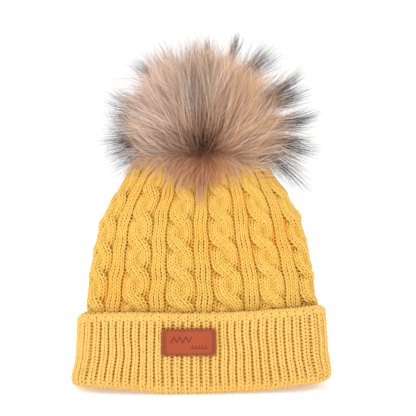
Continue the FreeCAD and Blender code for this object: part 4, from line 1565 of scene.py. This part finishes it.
    # --- all of it
    own = np.concatenate([own, np.linalg.norm(np.diff(q, axis=1), axis=-1).sum(1), np.linalg.norm(np.diff(r, axis=1), axis=-1).sum(1)])
    p = np.concatenate([p, q, r, q3])
    guard = np.concatenate([guard, fg, sg, np.ones(NT, bool)])
    index = np.arange(N)
    is_f = (index >= NB) & (index < NB + NF)
    is_s = (index >= NB + NF) & (index < NB + NF + NS)
    is_t = index >= NB + NF + NS
    for f, amp in ((0.55, 1.9), (1.3, 0.8), (2.3, 0.28)):
        ax = unit(rng.normal(size=(N, 3)))
        ph = rng.uniform(0, 6.28, N)
        wv = np.sin(2 * math.pi * f * t[None] + ph[:, None]) - np.sin(ph)[:, None]
        p += ax[:, None] * (wv * t[None] ** 0.8 * amp * (0.5 + rng.random(N))[:, None] * np.where(is_f, 0.75, np.where(is_t, 0.8, 1.0))[:, None])[..., None]
    hor = np.linalg.norm((p - p[:, :1])[..., :2], axis=-1)
    p[..., 2] -= (hor / 55.0) ** 2 * np.where(guard, 3.2, 2.6)[:, None] * rng.uniform(0.5, 1.4, N)[:, None] * ~is_f[:, None] * np.where(is_s, 0.4, np.where(is_t, 0.1, 1.0))[:, None]
    over = np.abs(p[..., 1]) / 92.0
    p[..., 1] = np.where(over > 0.88, np.sign(p[..., 1]) * 92 * (0.88 + 0.12 * np.tanh((over - 0.88) / 0.12)), p[..., 1])
    top = (p[..., 2] - 225) / 77.0
    p[..., 2] = np.where(top > 0.80, 225 + 77 * (0.80 + 0.20 * np.tanh((top - 0.80) / 0.20)), p[..., 2])
    margin = 0.9 + rng.random(N)[:, None] ** 1.4 * (5.5 - 3.0 * t[None]) * (t[None] > 0.05)
    p[:, 1:] = push_out(p[:, 1:], margin[:, 1:])
    rd = p[:, 0] - PC
    nr = unit(np.cross(rd, p[:, -1] - p[:, 0]) + 1e-4)
    nr = np.broadcast_to(nr[:, None], p.shape)
    thick = np.where(guard, rng.uniform(0.10, 0.145, N), rng.uniform(0.07, 0.11, N))
    thick[NB:NB + M] *= 1.25
    prof = np.interp(t, [0, 0.15, 0.6, 0.85, 1.0], [0.75, 1.0, 0.95, 0.6, 0.12])
    rad = thick[:, None] * prof[None]
    # --- colour along each hair
    tip, mid = p[:, -1], p[:, K // 2 + 1]
    dn = unit(p[:, 0] - PC)
    lock = np.concatenate([tuft, T + fn, T + ln, T + which])
    fine = np.concatenate([near, G + fn, G + rng.integers(0, F, NS + NT)])
    zone = 0.5 + 0.5 * wave_noise(mid, 94, 2, 62.0) + (0.22 * rng.normal(size=T + F))[lock] + (0.14 * rng.normal(size=G + F))[fine]
    front = smooth01((-mid[:, 1] - 5) / 20)
    streak = np.exp(-((mid[:, 0] + 1 + 0.16 * (mid[:, 2] - 212)) / 10) ** 2) * smooth01((mid[:, 2] - 212) / 20) * smooth01((278 - mid[:, 2]) / 22) * front
    warm = np.exp(-((mid[:, 0] - 42) / 26) ** 2) * front
    rosy = np.exp(-((mid[:, 0] + 36) / 20) ** 2 - ((mid[:, 2] - 232) / 20) ** 2) * front
    m = np.clip(zone - 0.42 * streak + 0.05 * rosy + 0.14 * rng.normal(size=N), 0, 1)
    tan = np.array([0.890, 0.575, 0.400])
    ochre = np.array([0.900, 0.535, 0.295])
    cream = np.array([0.950, 0.850, 0.740])
    grey = np.array([0.430, 0.275, 0.210])
    pink = np.array([0.850, 0.600, 0.505])
    base = tan + (ochre - tan) * warm[:, None]
    base = base + (pink - base) * (0.75 * rosy)[:, None]
    tone = base + (grey - base) * (smooth01((0.40 - m) / 0.35) * (1 - 0.55 * warm))[:, None]
    tone = tone + (pink - tone) * (smooth01((m - 0.72) / 0.2) * 0.6 * (1 - warm))[:, None]
    pale = (rng.random(N) < 0.17)[:, None]
    shade = (1 + 0.11 * rng.normal(size=T + F))[lock] * (1 + 0.10 * rng.normal(size=G + F))[fine]
    tone = np.where(pale, cream, tone) * (shade * (1 + 0.10 * rng.normal(size=N))).clip(0.6, 1.35)[:, None]
    root = np.array([0.150, 0.080, 0.046])
    low = np.array([0.330, 0.190, 0.116])
    rust = np.array([0.360, 0.160, 0.055])
    down = np.exp(-((tip[:, 0] - 2) / 34) ** 2) * (tip[:, 1] < 0) * smooth01(-(tip[:, 2] - 206) / 18)
    tone = tone + (np.array([0.54, 0.185, 0.045]) * rng.uniform(0.6, 1.4, N)[:, None] - tone) * (0.86 * down * (rng.random(N) < 0.74))[:, None]
    wisp = (is_f & (np.random.default_rng(606).random(N) < np.where(index < NB + M, 0.55, 0.17)))[:, None]
    tone = np.where(is_f[:, None], tone + (np.array([0.88, 0.45, 0.17]) - tone) * 0.38, tone)
    tone = np.where(wisp, np.array([0.93, 0.71, 0.49]), tone)
    low_c = low + (rust * 0.75 - low) * (0.85 * down)[:, None]
    heart = np.concatenate([np.exp(-(th / 0.36) ** 2), 0.9 * fwd(az), 0.9 * np.ones(NS), np.zeros(NT)])
    col = np.empty((N, K, 3))
    for k, u in enumerate(t):
        a = smooth01((u - 0.05 - 0.22 * heart) / 0.24)[:, None]
        b = smooth01((u - 0.22 - 0.14 * heart) / 0.42)
        col[:, k] = root * (1 - a) + (low_c * (1 - b[..., None]) + tone * b[..., None]) * a
    # browner and darker round the whorl
    hub = PC + W * 50
    gap = np.linalg.norm((p - hub)[..., [0, 2]] * np.array([1.0, 0.85]), axis=-1)
    glow = smooth01((gap - 2) / 38) + (1 - smooth01((-p[..., 1] - 8) / 18))
    glow = np.clip(glow, 0, 1)[..., None]
    col = col * (np.array([0.86, 0.62, 0.46]) * (1 - glow) + glow)
    back = smooth01((tip[:, 1] + 5) / 30)
    spots = smooth01((wave_noise(tip, 96, 2, 46.0) - 0.42) / 0.25)
    face = smooth01((-tip[:, 1] - 24) / 22)                   # tips that point at the viewer stay light
    edge_r = np.linalg.norm((tip - PC)[:, [0, 2]], axis=-1)
    chance = np.where(guard, np.clip(0.62 * smooth01((edge_r - 56) / 16) * (1 - face) + 0.5 * back * spots, 0, 1), 0.4 * back * spots)
    chance = np.where(is_s, np.where(guard, 0.50, 0.05), chance)
    chance = np.where(is_f, 0.05, np.where(is_t, 0.96, chance))
    black = rng.random(N) < chance
    ink = np.array([0.020, 0.020, 0.026]) * (1 + 0.6 * rng.random(N))[:, None]
    start = np.where(is_t, rng.uniform(0.54, 0.78, N), rng.uniform(0.70, 0.92, N))
    for k, u in enumerate(t):
        b = smooth01((u - start + 0.10) / 0.20) * black
        col[:, k] = col[:, k] * (1 - b[:, None]) + ink * b[:, None]
    col = np.clip(col, 0.004, 0.95)
    order = rng.permutation(N)
    for n in range(pieces):
        s = order[n * per:(n + 1) * per]
        verts, quads, uv = tubes(p[s], nr[s], rad[s], 3, closed=False)
        o = add_mesh("pompom_fur_%d" % (n + 1), verts, quads, uv, strip_uv(len(s), K - 1, 3),
                     {"hair": np.repeat(col[s].reshape(-1, 3), 3, 0)}, mats=[FUR])
        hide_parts("pompom_fur")
        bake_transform(o)


build_fur()


# ------------------------------------------------------------------------------------------------
# floor, light and finish
# ------------------------------------------------------------------------------------------------
def floor_material():
    k = Nodes("studio_floor")
    obj = k.obj()
    n = k.noise(3.0, 2.0, 0.5, obj)
    tone = k.mix(n, (0.85, 0.85, 0.85), (0.87, 0.87, 0.87))
    # the floor glows with emission 0.42: painted light that pales the hat's contact shadow and lights the hat from
    # below
    return k.set(color=tone, rough=0.9, spec=0.05, glow=0.42, glow_tint=(1.0, 1.0, 1.0))


def floor_plane():
    n = 12
    g = np.linspace(-18000.0, 18000.0, n)
    X, Y = np.meshgrid(g, g)
    v = np.stack([X.ravel(), Y.ravel(), np.full(n * n, -0.02)], -1)
    i = np.arange(n * n).reshape(n, n)
    q = np.stack([i[:-1, :-1], i[:-1, 1:], i[1:, 1:], i[1:, :-1]], -1).reshape(-1, 4)
    return add_mesh("studio_floor", v, q, mats=[floor_material()])


floor = floor_plane()


def area(name, loc, target, size, power, color=(1, 1, 1)):
    l = bpy.data.lights.new(name, "AREA")
    l.shape = "RECTANGLE"
    l.size, l.size_y = size[0] * MM, size[1] * MM
    l.energy = power
    l.color = color
    o = bpy.data.objects.new(name, l)
    bpy.context.scene.collection.objects.link(o)
    o.location = Vector(loc) * MM
    o.rotation_euler = (Vector(target) - Vector(loc)).to_track_quat("-Z", "Y").to_euler()
    return o


area("key", (-520, -900, 900), (0, 0, 120), (900, 900), 4.6)
area("fill", (800, -900, 420), (0, 0, 120), (900, 900), 1.7)
area("top", (0, 100, 1200), (0, 0, 150), (1200, 900), 3.2)

world = bpy.data.worlds.new("studio")
bpy.context.scene.world = world
world.use_nodes = True
bg = world.node_tree.nodes["Background"]
bg.inputs[0].default_value = (1.0, 1.0, 1.0, 1.0)
bg.inputs[1].default_value = 1.03

vs = bpy.context.scene.view_settings
vs.view_transform = "Standard"
vs.look = "None"
vs.exposure = 0.0
vs.gamma = 1.0
